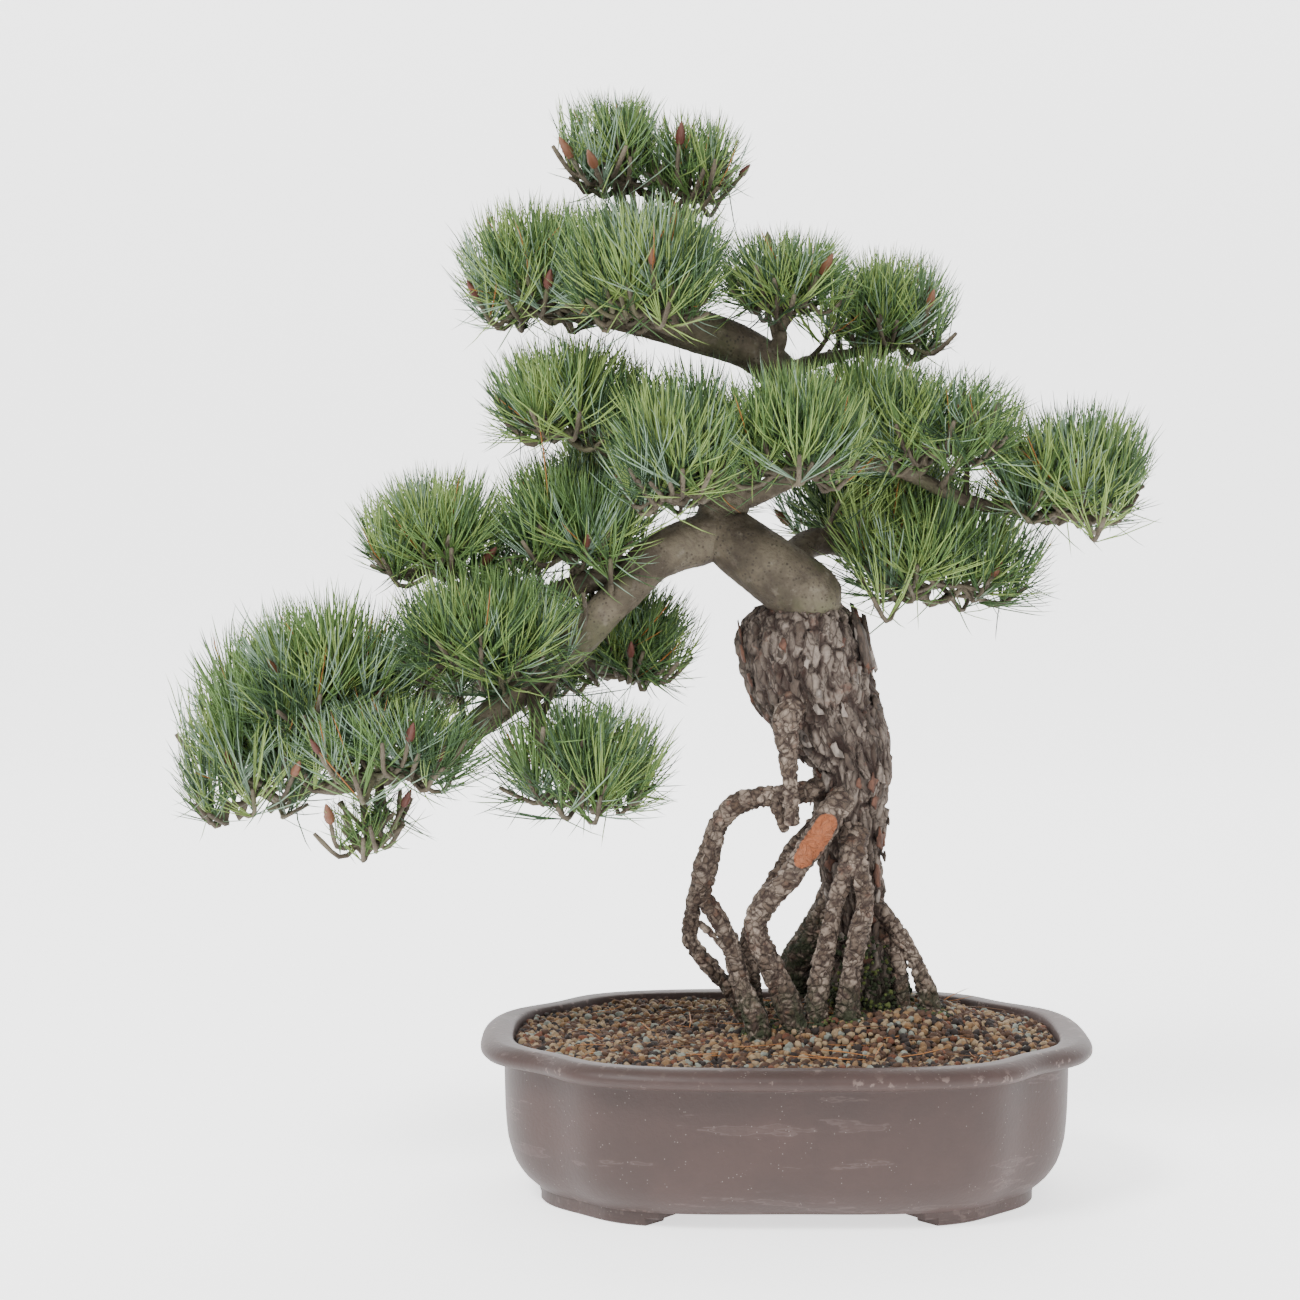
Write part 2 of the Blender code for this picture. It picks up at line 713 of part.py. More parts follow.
def add_brush(bm, place, heading, space, around, rng):
    """Adds one shoot: a slim closed core with needles standing out of its faces."""
    side = heading.orthogonal().normalized()
    up = heading.cross(side)
    rings = []
    for height, radius in BRUSH_RINGS:
        ring = []
        for k in range(BRUSH_SIDES):
            angle = 2 * math.pi * k / BRUSH_SIDES
            across = math.cos(angle) * side + math.sin(angle) * up
            ring.append(bm.verts.new((place + heading * height + across * radius) * MM))
        rings.append(ring)
    bm.faces.new(rings[0][::-1])
    for low, high, lean in zip(rings, rings[1:], NEEDLE_LEANS):
        for k in range(BRUSH_SIDES):
            after = (k + 1) % BRUSH_SIDES
            base = [low[k], low[after], high[after], high[k]]
            add_needle(bm, base, heading, lean, place, space, around, rng)
    add_needle(bm, rings[-1], heading, 0.0, place, space, around, rng)


def add_needle(bm, base, heading, lean, foot, space, around, rng):
    """Closes one face of the core, with a needle where there is room for it."""
    corners = [vert.co / MM for vert in base]
    middle = sum(corners, Vector()) / len(corners)
    out = middle - foot
    out -= out.dot(heading) * heading
    turn = math.radians(lean + rng.uniform(-7, 7))
    direction = heading
    if lean:
        direction = (math.cos(turn) * heading + math.sin(turn) * out.normalized()).normalized()
    length = NEEDLE_LENGTH * rng.uniform(0.9, 1.06)
    for share in NEEDLE_SHARES:
        tip = middle + direction * length * share + Vector((0, 0, NEEDLE_LIFT * share * math.sin(turn)))
        if in_space(space, tip) and not around.touched(*needle_shell(corners, middle, tip)):
            point = bm.verts.new(tip * MM)
            for first, second in zip(base, base[1:] + base[:1]):
                bm.faces.new((first, second, point))
            return
    bm.faces.new(base)


def stem_shell(start, heading, centre, half):
    """The stem made larger, as a mesh for the surroundings."""
    bm = bmesh.new()
    add_tube(bm, stem_route(start, heading, centre, half)[1:], TWIG_SIDES, 1.5)
    shell = bpy.data.meshes.new("stem_shell")
    bm.to_mesh(shell)
    bm.free()
    return shell


def needle_shell(corners, middle, tip):
    """A needle made larger all over, for tests against the surroundings."""
    along = (tip - middle).normalized()
    low = [corner + BACK_CLEAR * (corner - middle).normalized() for corner in corners]
    high = [tip + along + BACK_CLEAR * (corner - middle).normalized() for corner in corners]
    count = len(corners)
    faces = [(k, (k + 1) % count, count + (k + 1) % count, count + k) for k in range(count)]
    faces.append(tuple(range(count, 2 * count)))
    return low + high, faces


def stem_start(around, routes, limb, place, centre):
    """Where a mass's stem starts, and its heading: off a bough's tip, or off a limb's side."""
    if place is None:
        before, tip = (Vector(point[:3]) for point in routes[limb][-2:])
        heading = (tip - before).normalized()
        return tip + heading * CLEAR, heading
    inside = Vector(place)
    toward = (Vector(centre) - inside).normalized()
    surface, normal = around.surface(limb, inside + toward * 60, inside)
    return surface + normal * CLEAR, normal


def build_mass(name, seed, around, routes, cutters):
    """One mass of needles: a stem, its twigs, and a brush of needles on each shoot."""
    limb, place, centre, half, count = MASSES[name]
    rng = random.Random(seed)
    start, heading = stem_start(around, routes, limb, place, centre)
    low = lowest_shoot(start, heading, centre, half)
    shoots = shoot_tips(centre, half, low, count, rng)
    around.forget([("stem", name)])
    twigs = []
    for k, route in grow_twigs(start, heading, centre, half, shoots):
        if k is not None and around.touched(*tube_shell(route, BACK_CLEAR)):
            continue
        bm = bmesh.new()
        add_tube(bm, route, TWIG_SIDES)
        twigs.append((k, new_object("twig", bm)))
    mass = twigs[0][1]
    pieces = [twig for _, twig in twigs[1:]]
    for number, twig in enumerate(pieces):
        around.add(("twig", number), twig.data)
    brushes = []
    for k, _ in twigs[1:]:
        bm = bmesh.new()
        add_brush(bm, *shoots[k], (centre, half), around, rng)
        brushes.append(new_object("shoot", bm))
        around.add(("shoot", k), brushes[-1].data)
    around.forget([("twig", number) for number in range(len(pieces))])
    around.forget([("shoot", k) for k, _ in twigs[1:]])
    join_all(mass, pieces + brushes, "MANIFOLD")
    mass.name = name
    carve(mass, cutters)
    keep_largest_body(mass)
    return mass


def carve(piece, cutters):
    """Cuts a piece back from what was built before it."""
    for cutter in cutters:
        if boxes_meet(piece, cutter):
            apply_boolean(piece, "DIFFERENCE", cutter, "MANIFOLD")


def boxes_meet(first, second):
    def box(piece):
        places = [vertex.co for vertex in piece.data.vertices]
        return [(min(p[a] for p in places), max(p[a] for p in places)) for a in range(3)]

    return all(a[0] <= b[1] and b[0] <= a[1] for a, b in zip(box(first), box(second)))


def build_limb(name, branches, sides, cutters, grow=0.0):
    """A root or bough: its routes as one solid."""
    limb = tube(name, branches[0], sides, grow)
    others = [tube("branch", route, sides - 1, grow) for route in branches[1:]]
    if others:
        join_all(limb, others, "MANIFOLD")
    carve(limb, cutters)
    keep_largest_body(limb)
    return limb


def build_tree(soil):
    """The trunk, its roots and boughs, each cut clear of what it grows from, then the masses."""
    cutters = [build_soil("ground_cutter", CLEAR)]
    trunk = build_limb("trunk", (STOCK, TOP), TRUNK_SIDES, [])
    cutters.append(build_limb("trunk_cutter", (STOCK, TOP), TRUNK_SIDES, [], CLEAR))
    routes = {"trunk": smooth_route(TOP)}
    pieces = [(trunk, "bark")]
    limbs = [(name, branches, LIMB_SIDES, "root_bark") for name, branches in ROOTS.items()]
    limbs += [(name, (route,), LIMB_SIDES, "smooth_bark") for name, route in BOUGHS.items()]
    for name, branches, sides, colour in limbs:
        pieces.append((build_limb(name, branches, sides, cutters), colour))
        cutters.append(build_limb(name + "_cutter", branches, sides, [], CLEAR))
        routes[name] = smooth_route(branches[0])
    around = Surroundings()
    for piece, _ in [(soil, None)] + pieces:
        around.add(piece.name, piece.data)
    stems = {}
    for name, (limb, place, centre, half, _) in MASSES.items():
        stems[name] = stem_shell(*stem_start(around, routes, limb, place, centre), centre, half)
    for name, shell in stems.items():
        around.add(("stem", name), shell)
    for number, name in enumerate(MASSES):
        mass = build_mass(name, number + 1, around, routes, cutters)
        for attempt in range(1, 5):
            if is_sound(mass):
                break
            remove_objects([mass])
            around.add(("stem", name), stems[name])
            mass = build_mass(name, number + 1 + 100 * attempt, around, routes, cutters)
        around.add(name, mass.data)
        pieces.append((mass, "needles"))
    remove_objects(cutters)
    return pieces


def centre_on_origin(pieces):
    """Moves everything so that the middle of the bounding box's underside is the origin."""
    places = [vertex.co for piece in pieces for vertex in piece.data.vertices]
    low = [min(place[axis] for place in places) for axis in range(3)]
    high = [max(place[axis] for place in places) for axis in range(3)]
    root = bpy.data.objects.new("bonsai", None)
    bpy.context.scene.collection.objects.link(root)
    root.location = (-(low[0] + high[0]) / 2, -(low[1] + high[1]) / 2, -low[2])
    for piece in pieces:
        piece.parent = root


def main():
    for old in list(bpy.data.objects):
        bpy.data.objects.remove(old)
    pot = build_pot()
    soil = build_soil()
    pieces = [(pot, "clay"), (soil, "soil")] + build_tree(soil)
    for piece, colour in pieces:
        dress(piece, colour)
    centre_on_origin([piece for piece, _ in pieces])


main()
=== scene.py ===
"""The visual model of an exposed-root white pine bonsai in its pot, on the CAD frame.

The tables are the part's own, in millimetres from the pot's centre on the ground: X to the
right, Y away from the viewer, Z up. Finished meshes are in the frame's metres.
"""

import math
import random

import bmesh
import bpy
import numpy as np
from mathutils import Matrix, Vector, noise


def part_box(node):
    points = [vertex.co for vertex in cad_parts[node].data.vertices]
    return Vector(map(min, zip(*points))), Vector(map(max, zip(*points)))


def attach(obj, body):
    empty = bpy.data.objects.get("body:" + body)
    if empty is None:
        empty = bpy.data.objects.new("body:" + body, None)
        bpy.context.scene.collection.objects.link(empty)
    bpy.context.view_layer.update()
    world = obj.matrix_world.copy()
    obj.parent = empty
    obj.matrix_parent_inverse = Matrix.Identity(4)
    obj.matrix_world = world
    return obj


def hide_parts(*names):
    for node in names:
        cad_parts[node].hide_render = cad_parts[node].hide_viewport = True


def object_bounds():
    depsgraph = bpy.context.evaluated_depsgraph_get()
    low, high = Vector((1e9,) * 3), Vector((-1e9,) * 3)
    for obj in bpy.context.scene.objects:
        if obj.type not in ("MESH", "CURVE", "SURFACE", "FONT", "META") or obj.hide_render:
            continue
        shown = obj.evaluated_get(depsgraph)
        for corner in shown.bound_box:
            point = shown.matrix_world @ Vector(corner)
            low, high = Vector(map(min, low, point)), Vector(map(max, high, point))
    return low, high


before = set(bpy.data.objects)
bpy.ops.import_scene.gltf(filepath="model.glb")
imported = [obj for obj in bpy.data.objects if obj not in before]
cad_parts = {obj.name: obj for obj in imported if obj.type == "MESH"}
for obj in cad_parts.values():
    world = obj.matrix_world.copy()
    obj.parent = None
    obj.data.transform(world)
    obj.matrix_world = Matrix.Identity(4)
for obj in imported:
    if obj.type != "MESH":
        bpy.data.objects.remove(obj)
cad_low, cad_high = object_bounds()

MM = 0.001
CLEAR = 0.3

# Pot
POT_HALF_LENGTH = 180.0
POT_HALF_DEPTH = 142.0
POT_SQUARENESS = 2.75  # exponent of the oval: 2 is an ellipse
NOTCH_ANGLE = 32.0  # degrees from the long axis to the dip between two lobes
NOTCH_DEPTH = 12.0
NOTCH_SPREAD = 10.0  # degrees
NOTCH_FADE = 70.0  # inset at which the dips are gone
FLOOR_HEIGHT = 15.0
FOOT_SPAN = (14.0, 51.0)  # degrees of the outline, in each quarter
FOOT_INSETS = (34.5, 52.0)
FOOT_ROUNDING = 0.8
FOOT_STEP = 4.0  # height of the notch at each end of a foot
FOOT_STEP_TURN = 3.2  # degrees that the notch adds to the foot
FOOT_PARTS = 40
FOOT_TOPS = (9.5, 9.2)  # of its two blocks, inside the pot
FOOT_WEAR = 0.3
SHARP_DEGREES = 42
POT_SIDES = 288
# Inset from the rim's outline, height, and how worn the edge is: from the pot's underside up its
# outer face, over the rim and down its inner face. The source's wall, with its edges rounded.
POT_WALL = (
    (34.0, 8.0, 0.0), (33.2, 8.2, 0.6), (32.6, 8.9, 0.6), (30.4, 10.6, 0.1), (28.2, 12.5, 0.0),
    (26.0, 14.5, 0.0), (23.8, 17.1, 0.0), (21.8, 20.0, 0.0), (20.0, 23.0, 0.0), (18.4, 27.0, 0.0),
    (17.1, 31.4, 0.0), (16.0, 36.0, 0.0), (15.2, 43.0, 0.0), (14.7, 50.0, 0.0), (14.4, 57.0, 0.0),
    (14.2, 64.0, 0.0), (14.05, 72.0, 0.0), (14.0, 80.0, 0.0), (14.0, 83.2, 0.0), (13.6, 83.9, 0.0),
    (12.8, 84.2, 0.0), (8.0, 84.1, 0.0), (3.6, 84.0, 0.2), (2.6, 84.2, 0.6), (1.2, 85.4, 0.3),
    (0.2, 86.6, 1.0), (0.0, 87.2, 1.0), (0.0, 88.8, 1.0), (0.25, 89.7, 1.0), (1.0, 90.9, 0.5),
    (2.2, 92.1, 0.2), (4.0, 93.4, 0.1), (6.0, 94.3, 0.3), (7.4, 94.8, 1.0), (8.4, 95.0, 1.0),
    (10.0, 95.0, 0.3), (14.0, 94.9, 0.0), (17.6, 94.6, 0.4), (18.6, 94.0, 1.0), (19.0, 93.0, 0.8),
    (19.4, 90.0, 0.0), (20.0, 84.0, 0.0), (20.8, 64.0, 0.0), (21.5, 45.0, 0.0), (24.0, 33.0, 0.0),
    (28.0, 24.0, 0.0), (38.0, 15.0, 0.0),
)

# Soil, with its outer face from the pot's floor up
SOIL_WALL = (
    (39.0, FLOOR_HEIGHT + CLEAR),
    (29.0, 24.5),
    (22.5, 45.0),
    (21.0, 84.0),
)
SOIL_EDGE_INSET = 20.4
SOIL_EDGE_HEIGHT = 90.0
MOUND_HEIGHT = 16.0
MOUND_FLAT = 33.0  # radius of the level ground round the trunk's foot
MOUND_REACH = 104.0
SOIL_SIDES = 144
SOIL_RINGS = 24
SOIL_SINK = 1.2  # under the loose grit
GROUND = SOIL_EDGE_HEIGHT + MOUND_HEIGHT
FOOT_X, FOOT_Y = 47.0, 15.0

# Trunk: the old stock that stands on its roots, and the smooth top grafted on it, with the
# radius at each point.
STOCK = (
    (FOOT_X, FOOT_Y, GROUND + CLEAR, 28.0), (FOOT_X, FOOT_Y, 133.0, 19.0),
    (44.0, 12.0, 163.0, 17.5), (40.0, 10.0, 193.0, 19.5), (39.0, 8.0, 221.0, 22.0),
    (40.0, 5.0, 251.0, 24.0), (28.0, 2.0, 277.0, 29.5), (16.0, 0.0, 299.0, 35.5),
    (10.0, 0.0, 319.0, 37.5), (7.0, 0.0, 337.0, 33.0), (5.0, 0.0, 350.0, 20.0),
)
TOP = (
    (24.0, -7.0, 339.0, 10.0), (19.0, -9.0, 345.0, 17.0), (11.0, -12.0, 353.0, 20.5),
    (-13.0, -12.0, 371.0, 19.3), (-37.0, -2.0, 391.0, 16.5), (-33.0, 4.0, 410.0, 13.6),
    (-20.0, 12.0, 438.0, 12.0), (-6.0, 16.0, 464.0, 12.0), (-4.0, 12.0, 482.0, 12.0),
    (-24.0, 4.0, 497.0, 12.0), (-54.0, -2.0, 507.0, 12.4), (-84.0, -5.0, 511.0, 8.2),
    (-114.0, -6.0, 514.0, 3.5),
)

# Exposed roots, from the trunk down into the soil. A second route is a branch of the first.
ROOTS = {
    "root_loop": (
        (
            (26, 0, 239, 7.0), (2, -14, 235, 6.5), (-23, -18, 233, 7.0), (-38, -20, 222, 7.0),
            (-46, -18, 198, 7.0), (-52, -15, 171, 7.0),
        ),
        ((-9, -17, 234, 4.4), (-5, -21, 228, 4.0), (-1, -22, 214, 3.0)),
    ),
    "root_loop_outer": (
        (
            (-53, -15, 176, 5.3), (-56, -13, 159, 5.3), (-55, -11, 146, 5.3), (-34, -6, 120, 5.6),
            (-22, -5, 100, 6.2), (-19, -4, 84, 6.2),
        ),
    ),
    "root_loop_inner": (
        (
            (-51, -15, 176, 5.4), (-43, -17, 167, 5.8), (-33, -21, 148, 5.8), (-27, -27, 126, 6.4),
            (-18, -33, 104, 7.2), (-13, -36, 84, 7.2),
        ),
    ),
    "root_loop_link": (((-56, -13, 163, 2.4), (-44, -15, 153, 2.3), (-32, -21, 140, 2.6)),),
    "root_stub": (
        ((8, -18, 298, 8.0), (-1, -32, 280, 8.0), (1, -33, 250, 5.4), (3, -32, 219, 4.6)),
    ),
    "root_arch": (
        (
            (38, -2, 236, 9.5), (24, -22, 222, 8.6), (4, -28, 191, 7.5), (-13, -28, 173, 7.5),
            (-18, -28, 158, 7.5), (-8, -29, 134, 7.5), (3, -32, 106, 8.4), (6, -33, 84, 8.4),
        ),
    ),
    "root_arch_back": (
        (
            (30, 8, 224, 5.5), (13, 6, 211, 4.8), (-6, 3, 184, 4.9), (-21, -3, 152, 5.6),
            (-20, -10, 122, 6.6), (-15, -14, 84, 7.0),
        ),
    ),
    "root_front_left": (
        (
            (39, -5, 214, 8.5), (37, -19, 196, 6.8), (28, -22, 169, 5.4), (19, -25, 124, 6.8),
            (15, -28, 84, 8.2),
        ),
    ),
    "root_front_right": (
        (
            (41, -7, 212, 8.5), (41, -19, 194, 6.8), (46, -22, 173, 5.8), (37, -27, 126, 7.0),
            (36, -30, 84, 8.2),
        ),
    ),
    "root_right": (
        (
            (50, 6, 166, 8.5), (60, 0, 160, 6.4), (77, -2, 135, 5.0), (87, -5, 106, 6.4),
            (90, -5, 84, 6.6),
        ),
    ),
    "root_right_inner": (
        ((53, 8, 156, 7.2), (65, 2, 142, 5.4), (69, -2, 120, 5.2), (72, -5, 84, 6.2)),
    ),
    "root_mossy": (
        ((37, 18, 184, 10.0), (25, 28, 158, 10.0), (10, 34, 128, 11.0), (2, 36, 84, 12.6)),
    ),
    "root_back": (((48, 22, 172, 9.0), (60, 40, 145, 8.0), (70, 54, 112, 8.4), (73, 60, 84, 9.0)),),
}

# Boughs, from the trunk or an older bough to the tip that a mass of needles grows from.
BOUGHS = {
    "bough_left": (
        (-36, -2, 392, 14.5), (-52, -6, 384, 15.0), (-77, -14, 374, 13.6), (-103, -22, 347, 11.2),
        (-121, -26, 328, 10.5), (-162, -32, 292, 9.0), (-211, -30, 257, 7.0),
        (-258, -26, 242, 5.2), (-276, -24, 241, 3.8),
    ),
    "bough_left_shelf": (
        (-82, -16, 370, 7.6), (-108, -14, 363, 7.0), (-142, -10, 352, 5.8), (-164, -8, 350, 3.6),
    ),
    "bough_left_back": (
        (-112, -22, 338, 6.8), (-128, 8, 334, 6.0), (-160, 40, 318, 4.8), (-214, 46, 288, 3.6),
        (-240, 46, 276, 3.0),
    ),
    "bough_left_hanging": (
        (-146, -30, 306, 4.2), (-147, -45, 291, 4.0), (-140, -50, 264, 3.4), (-126, -48, 246, 2.8),
    ),
    "bough_inner": (
        (-120, -26, 329, 5.0), (-118, -2, 317, 4.1), (-110, 13, 308, 3.4), (-99, 18, 306, 2.8),
    ),
    "bough_right_low": (
        (-4, -8, 366, 10.0), (14, 18, 381, 8.8), (34, 22, 381, 7.2), (58, 16, 365, 5.2),
        (74, 12, 355, 3.6),
    ),
    "bough_right_long": (
        (-32, 4, 409, 9.0), (-16, 0, 412, 6.5), (18, -8, 427, 5.6), (58, -10, 428, 4.8),
        (105, -4, 408, 4.0), (142, 2, 400, 3.0),
    ),
    "bough_mid_left": (
        (-30, 4, 413, 7.6), (-46, -6, 417, 5.8), (-74, -13, 424, 4.6), (-100, -14, 434, 3.0),
    ),
    "bough_mid_front": ((-25, 8, 430, 7.0), (-33, -20, 426, 5.2), (-46, -42, 420, 3.4)),
    "bough_mid_back": ((-20, 13, 440, 8.0), (-34, 44, 432, 6.2), (-50, 64, 422, 4.0)),
    "bough_right_back": ((-6, 15, 466, 7.0), (12, 42, 446, 5.4), (30, 62, 424, 3.8)),
    "bough_top_inner": ((-12, 8, 488, 7.0), (-5, 0, 499, 5.0), (-3, -5, 508, 3.4)),
    "bough_top_outer": ((-6, 14, 478, 7.0), (12, 22, 488, 4.8), (46, 30, 496, 3.2)),
    "bough_apex": (
        (-76, -4, 508, 8.0), (-73, -4, 526, 5.4), (-81, 0, 556, 4.2), (-96, 0, 582, 2.8),
    ),
    "bough_crown_front": ((-54, -2, 506, 7.0), (-66, -26, 507, 5.0), (-76, -40, 509, 3.4)),
    "bough_crown_back": ((-58, 0, 507, 7.0), (-72, 26, 510, 5.2), (-86, 42, 515, 3.4)),
}

# Masses of needles. Each keeps to a rounded box with this centre and these half sizes, grows
# from a bough's tip, or from the side of a limb where a place on it is given, and has about this
# many shoots.
MASSES = {
    "foliage_apex_left": ("bough_apex", None, (-103, 0, 616), (28, 34, 37), 4),
    "foliage_apex_right": ("bough_apex", (-78, 2, 548), (-57, 4, 605), (31, 32, 30), 3),
    "foliage_crown_left": ("trunk", None, (-145, -10, 545), (44, 44, 39), 5),
    "foliage_crown_front": ("bough_crown_front", None, (-85, -52, 544), (46, 36, 40), 4),
    "foliage_crown_back": ("bough_crown_back", None, (-97, 52, 552), (58, 42, 38), 4),
    "foliage_top_inner": ("bough_top_inner", None, (-2, -8, 532), (40, 44, 32), 4),
    "foliage_top_outer": ("bough_top_outer", None, (65, 30, 523), (35, 40, 33), 4),
    "foliage_mid_left": ("bough_mid_left", None, (-127, -16, 465), (44, 48, 39), 5),
    "foliage_mid_front": ("bough_mid_front", None, (-66, -62, 447), (38, 38, 48), 5),
    "foliage_mid_center": ("trunk", (-12, 6, 452), (-3, -52, 451), (46, 42, 38), 4),
    "foliage_mid_right": ("trunk", (-2, 14, 470), (48, 8, 463), (40, 44, 38), 4),
    "foliage_right": ("bough_right_long", (74, -9, 422), (86, -12, 430), (52, 50, 50), 5),
    "foliage_far_right": ("bough_right_long", None, (168, 2, 428), (49, 46, 39), 5),
    "foliage_right_low": ("bough_right_low", None, (90, 14, 384), (58, 46, 46), 4),
    "foliage_mid_back": ("bough_mid_back", None, (-74, 86, 439), (60, 42, 46), 4),
    "foliage_right_back": ("bough_right_back", None, (55, 84, 424), (56, 44, 48), 4),
    "foliage_shelf_inner": (
        "bough_left_shelf", (-122, -12, 360), (-122, -10, 395), (45, 46, 43), 5,
    ),
    "foliage_shelf_tip": ("bough_left_shelf", None, (-204, -8, 392), (43, 46, 36), 4),
    "foliage_left_upper": ("bough_left", (-152, -31, 301), (-175, -42, 327), (50, 42, 46), 4),
    "foliage_left_back": ("bough_left_back", (-146, 28, 325), (-170, 52, 324), (56, 40, 46), 4),
    "foliage_left_far_upper": ("bough_left", (-232, -28, 250), (-268, -30, 315), (52, 46, 48), 5),
    "foliage_left_far_back": ("bough_left_back", None, (-284, 50, 298), (54, 38, 48), 4),
    "foliage_left_low": ("bough_left", (-204, -30, 262), (-228, -62, 270), (52, 36, 29), 4),
    "foliage_left_tip": ("bough_left", None, (-313, -24, 279), (44, 46, 62), 5),
    "foliage_inner_low": ("bough_inner", None, (-96, 23, 326), (42, 38, 33), 4),
    "foliage_hanging": ("bough_left_hanging", None, (-121, -50, 262), (50, 40, 36), 4),
    "foliage_droop": ("bough_left", (-236, -28, 250), (-241, -34, 221), (27, 30, 20), 3),
}
NEEDLE_LENGTH = 50.0
SHOOT_MARGIN = 24.0  # room left round the shoots' tips for the spread of the needles
SHOOT_FLOOR = 10.0  # height of the lowest shoots over the box's underside
SHOOT_RISE = 14.0  # and over the place on a limb that the stem rises from
GOLDEN_TURN = math.pi * (3 - math.sqrt(5))

# What the scene adds to the tables
SEED = 11
TINT_SHARE = 0.72  # of a screen colour, for a bright studio
RISE_LIMIT = 0.35  # of a limb's radius, for its bark
TIP_SHARE = 0.6  # of the radius that a limb's last ring keeps
TIP_REACH = 0.3  # of a step, past that ring
TWIG_SIDES = 6
SHOOTS_PER_BRUSH = 4
SKIRT_SHARE = 1.7  # low shoots round a mass, for each shoot of the source's
FILL_GAP = 17.0  # between the shoots that stand straight on a bough
# Radii along each kind of twig
STEM_RADII = (3.2, 3.0, 2.5, 2.2)
TWIG_RADII = (2.3, 2.0, 1.7)
SHOOT_RADII = (1.6, 1.4, 1.5, 1.3)
SKIRT_RADII = (1.9, 1.7, 1.5, 1.3)
FILL_RADII = (2.2, 1.9, 1.6, 1.3)
FASCICLES = 14  # bundles of needles along a shoot
NEEDLES_IN_FASCICLE = 5
NEEDLE_BEND = 0.2  # of its length, how far a needle's tip curves
NEEDLE_TRIMS = (1.0, 0.88, 0.76, 0.64)  # of its length, tried until the tip has room
ROOM = (0.8, 2.6)  # space_share that a needle's tip may reach
BOX_SLACK = 4.0  # how far a tip may pass the CAD's box
STRAY_SHARE = 0.03
DRY_SHARE = 0.006
BUD_AGE = 0.78  # shoots that are older carry a bud
BUD_START = 18.5  # from a shoot's foot
BUD_ROOM = 34  # and how far it needs the space
BUD_LENGTHS = (10, 15)
GRAIN_GAP = 3.7
GRAIN_JITTER = 1.2
GRAIN_INSET = 22.8
GRAIN_RADII = (1.5, 3.2)
GRAIN_KINDS = 4
# Middle and reach of each patch of moss
MOSS_SPOTS = (
    (2, 36, 19), (47, 15, 25), (-15, -20, 12), (15, -28, 11), (36, -30, 11), (88, -5, 11),
    (73, 60, 13),
)
MOSS_PER_REACH = 11
MOSS_ON_STOCK = 900
MOSS_CLIMB = 44  # height over the ground
FALLEN_NEEDLES = 170
FALLEN_REACH = (118, 88)
FLAKES = 190
SLABS = 14  # the first flakes, which stand large on the stock's right shoulder
SHOULDER_HEIGHT = 316
FLAKE_KINDS = 4
# Where the bark is gone from the front of the arching root
BARE_ENDS = np.array(((23.0, -31.0, 219.0), (10.0, -36.0, 201.0)))
BARE_REACH = 6.5
BARE_EDGE = 1.6
# Where moss ends on wood, and the height that it fades over
DAMP = (132.0, 26.0)
MOSSY = (172.0, 30.0)
# Stage and camera, in metres
FLOOR_HALF = 14.0
FLOOR_CURVE = (2.2, 1.2)  # where the floor starts to rise, and the radius
BACKDROP_TOP = (3.4, 4.5)
LIGHTS = (
    ("key", (-1.1, -1.4, 2.2), 0.9, 85.0),
    ("fill", (1.6, -1.4, 1.1), 1.8, 14.0),
    ("back", (0.3, 1.5, 2.2), 1.6, 26.0),
)
LIT_POINT = (0.0, 0.0, 0.3)
CAMERA_PLACE = (-0.080, -1.900, 0.443)  # from the pot's centre on the ground
CAMERA_TILT = 3.72  # degrees down
LENS_MM = 89.36
SENSOR_MM = 36.0

noise.seed_set(SEED)  # without it noise_vector is different in each run

pot_low, pot_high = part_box("pot")
SHIFT = np.array(((pot_low[0] + pot_high[0]) / 2, (pot_low[1] + pot_high[1]) / 2, 0.0))


def tint(*screen):
    """Linear colour for red, green and blue screen values from 0 to 255."""
    return tuple(TINT_SHARE * ((c / 255 + 0.055) / 1.055) ** 2.4 for c in screen) + (1.0,)


# Writing of nodes


def give(tree, socket, value):
    """Sets a socket's value, or links it where the value is another node's output."""
    if isinstance(value, Wire):
        value = value.socket
    if isinstance(value, bpy.types.NodeSocket):
        tree.links.new(value, socket)
    else:
        socket.default_value = value


def add_node(tree, kind, settings, values):
    """A node's outputs, once it has its settings and what its sockets take."""
    made = tree.nodes.new(kind)
    for name, value in settings.items():
        setattr(made, name, value)
    for name, value in values.items():
        give(tree, made.inputs[name], value)
    return made.outputs


class Wire:
    """An output of a shader node that takes part in arithmetic."""

    def __init__(self, shader, socket):
        self.shader = shader
        self.socket = socket

    def math(self, operation, *values):
        return self.shader.node("ShaderNodeMath", {"operation": operation}, dict(enumerate(values)))

    def step(self, low, high):
        """0 below low and 1 above high, with a smooth change between."""
        settings = {"interpolation_type": "SMOOTHSTEP"}
        values = {"Value": self, "From Min": low, "From Max": high}
        return self.shader.node("ShaderNodeMapRange", settings, values)


for word, operation in (("add", "ADD"), ("sub", "SUBTRACT"), ("mul", "MULTIPLY")):
    setattr(Wire, f"__{word}__", lambda self, other, do=operation: self.math(do, self, other))
    setattr(Wire, f"__r{word}__", lambda self, other, do=operation: self.math(do, other, self))


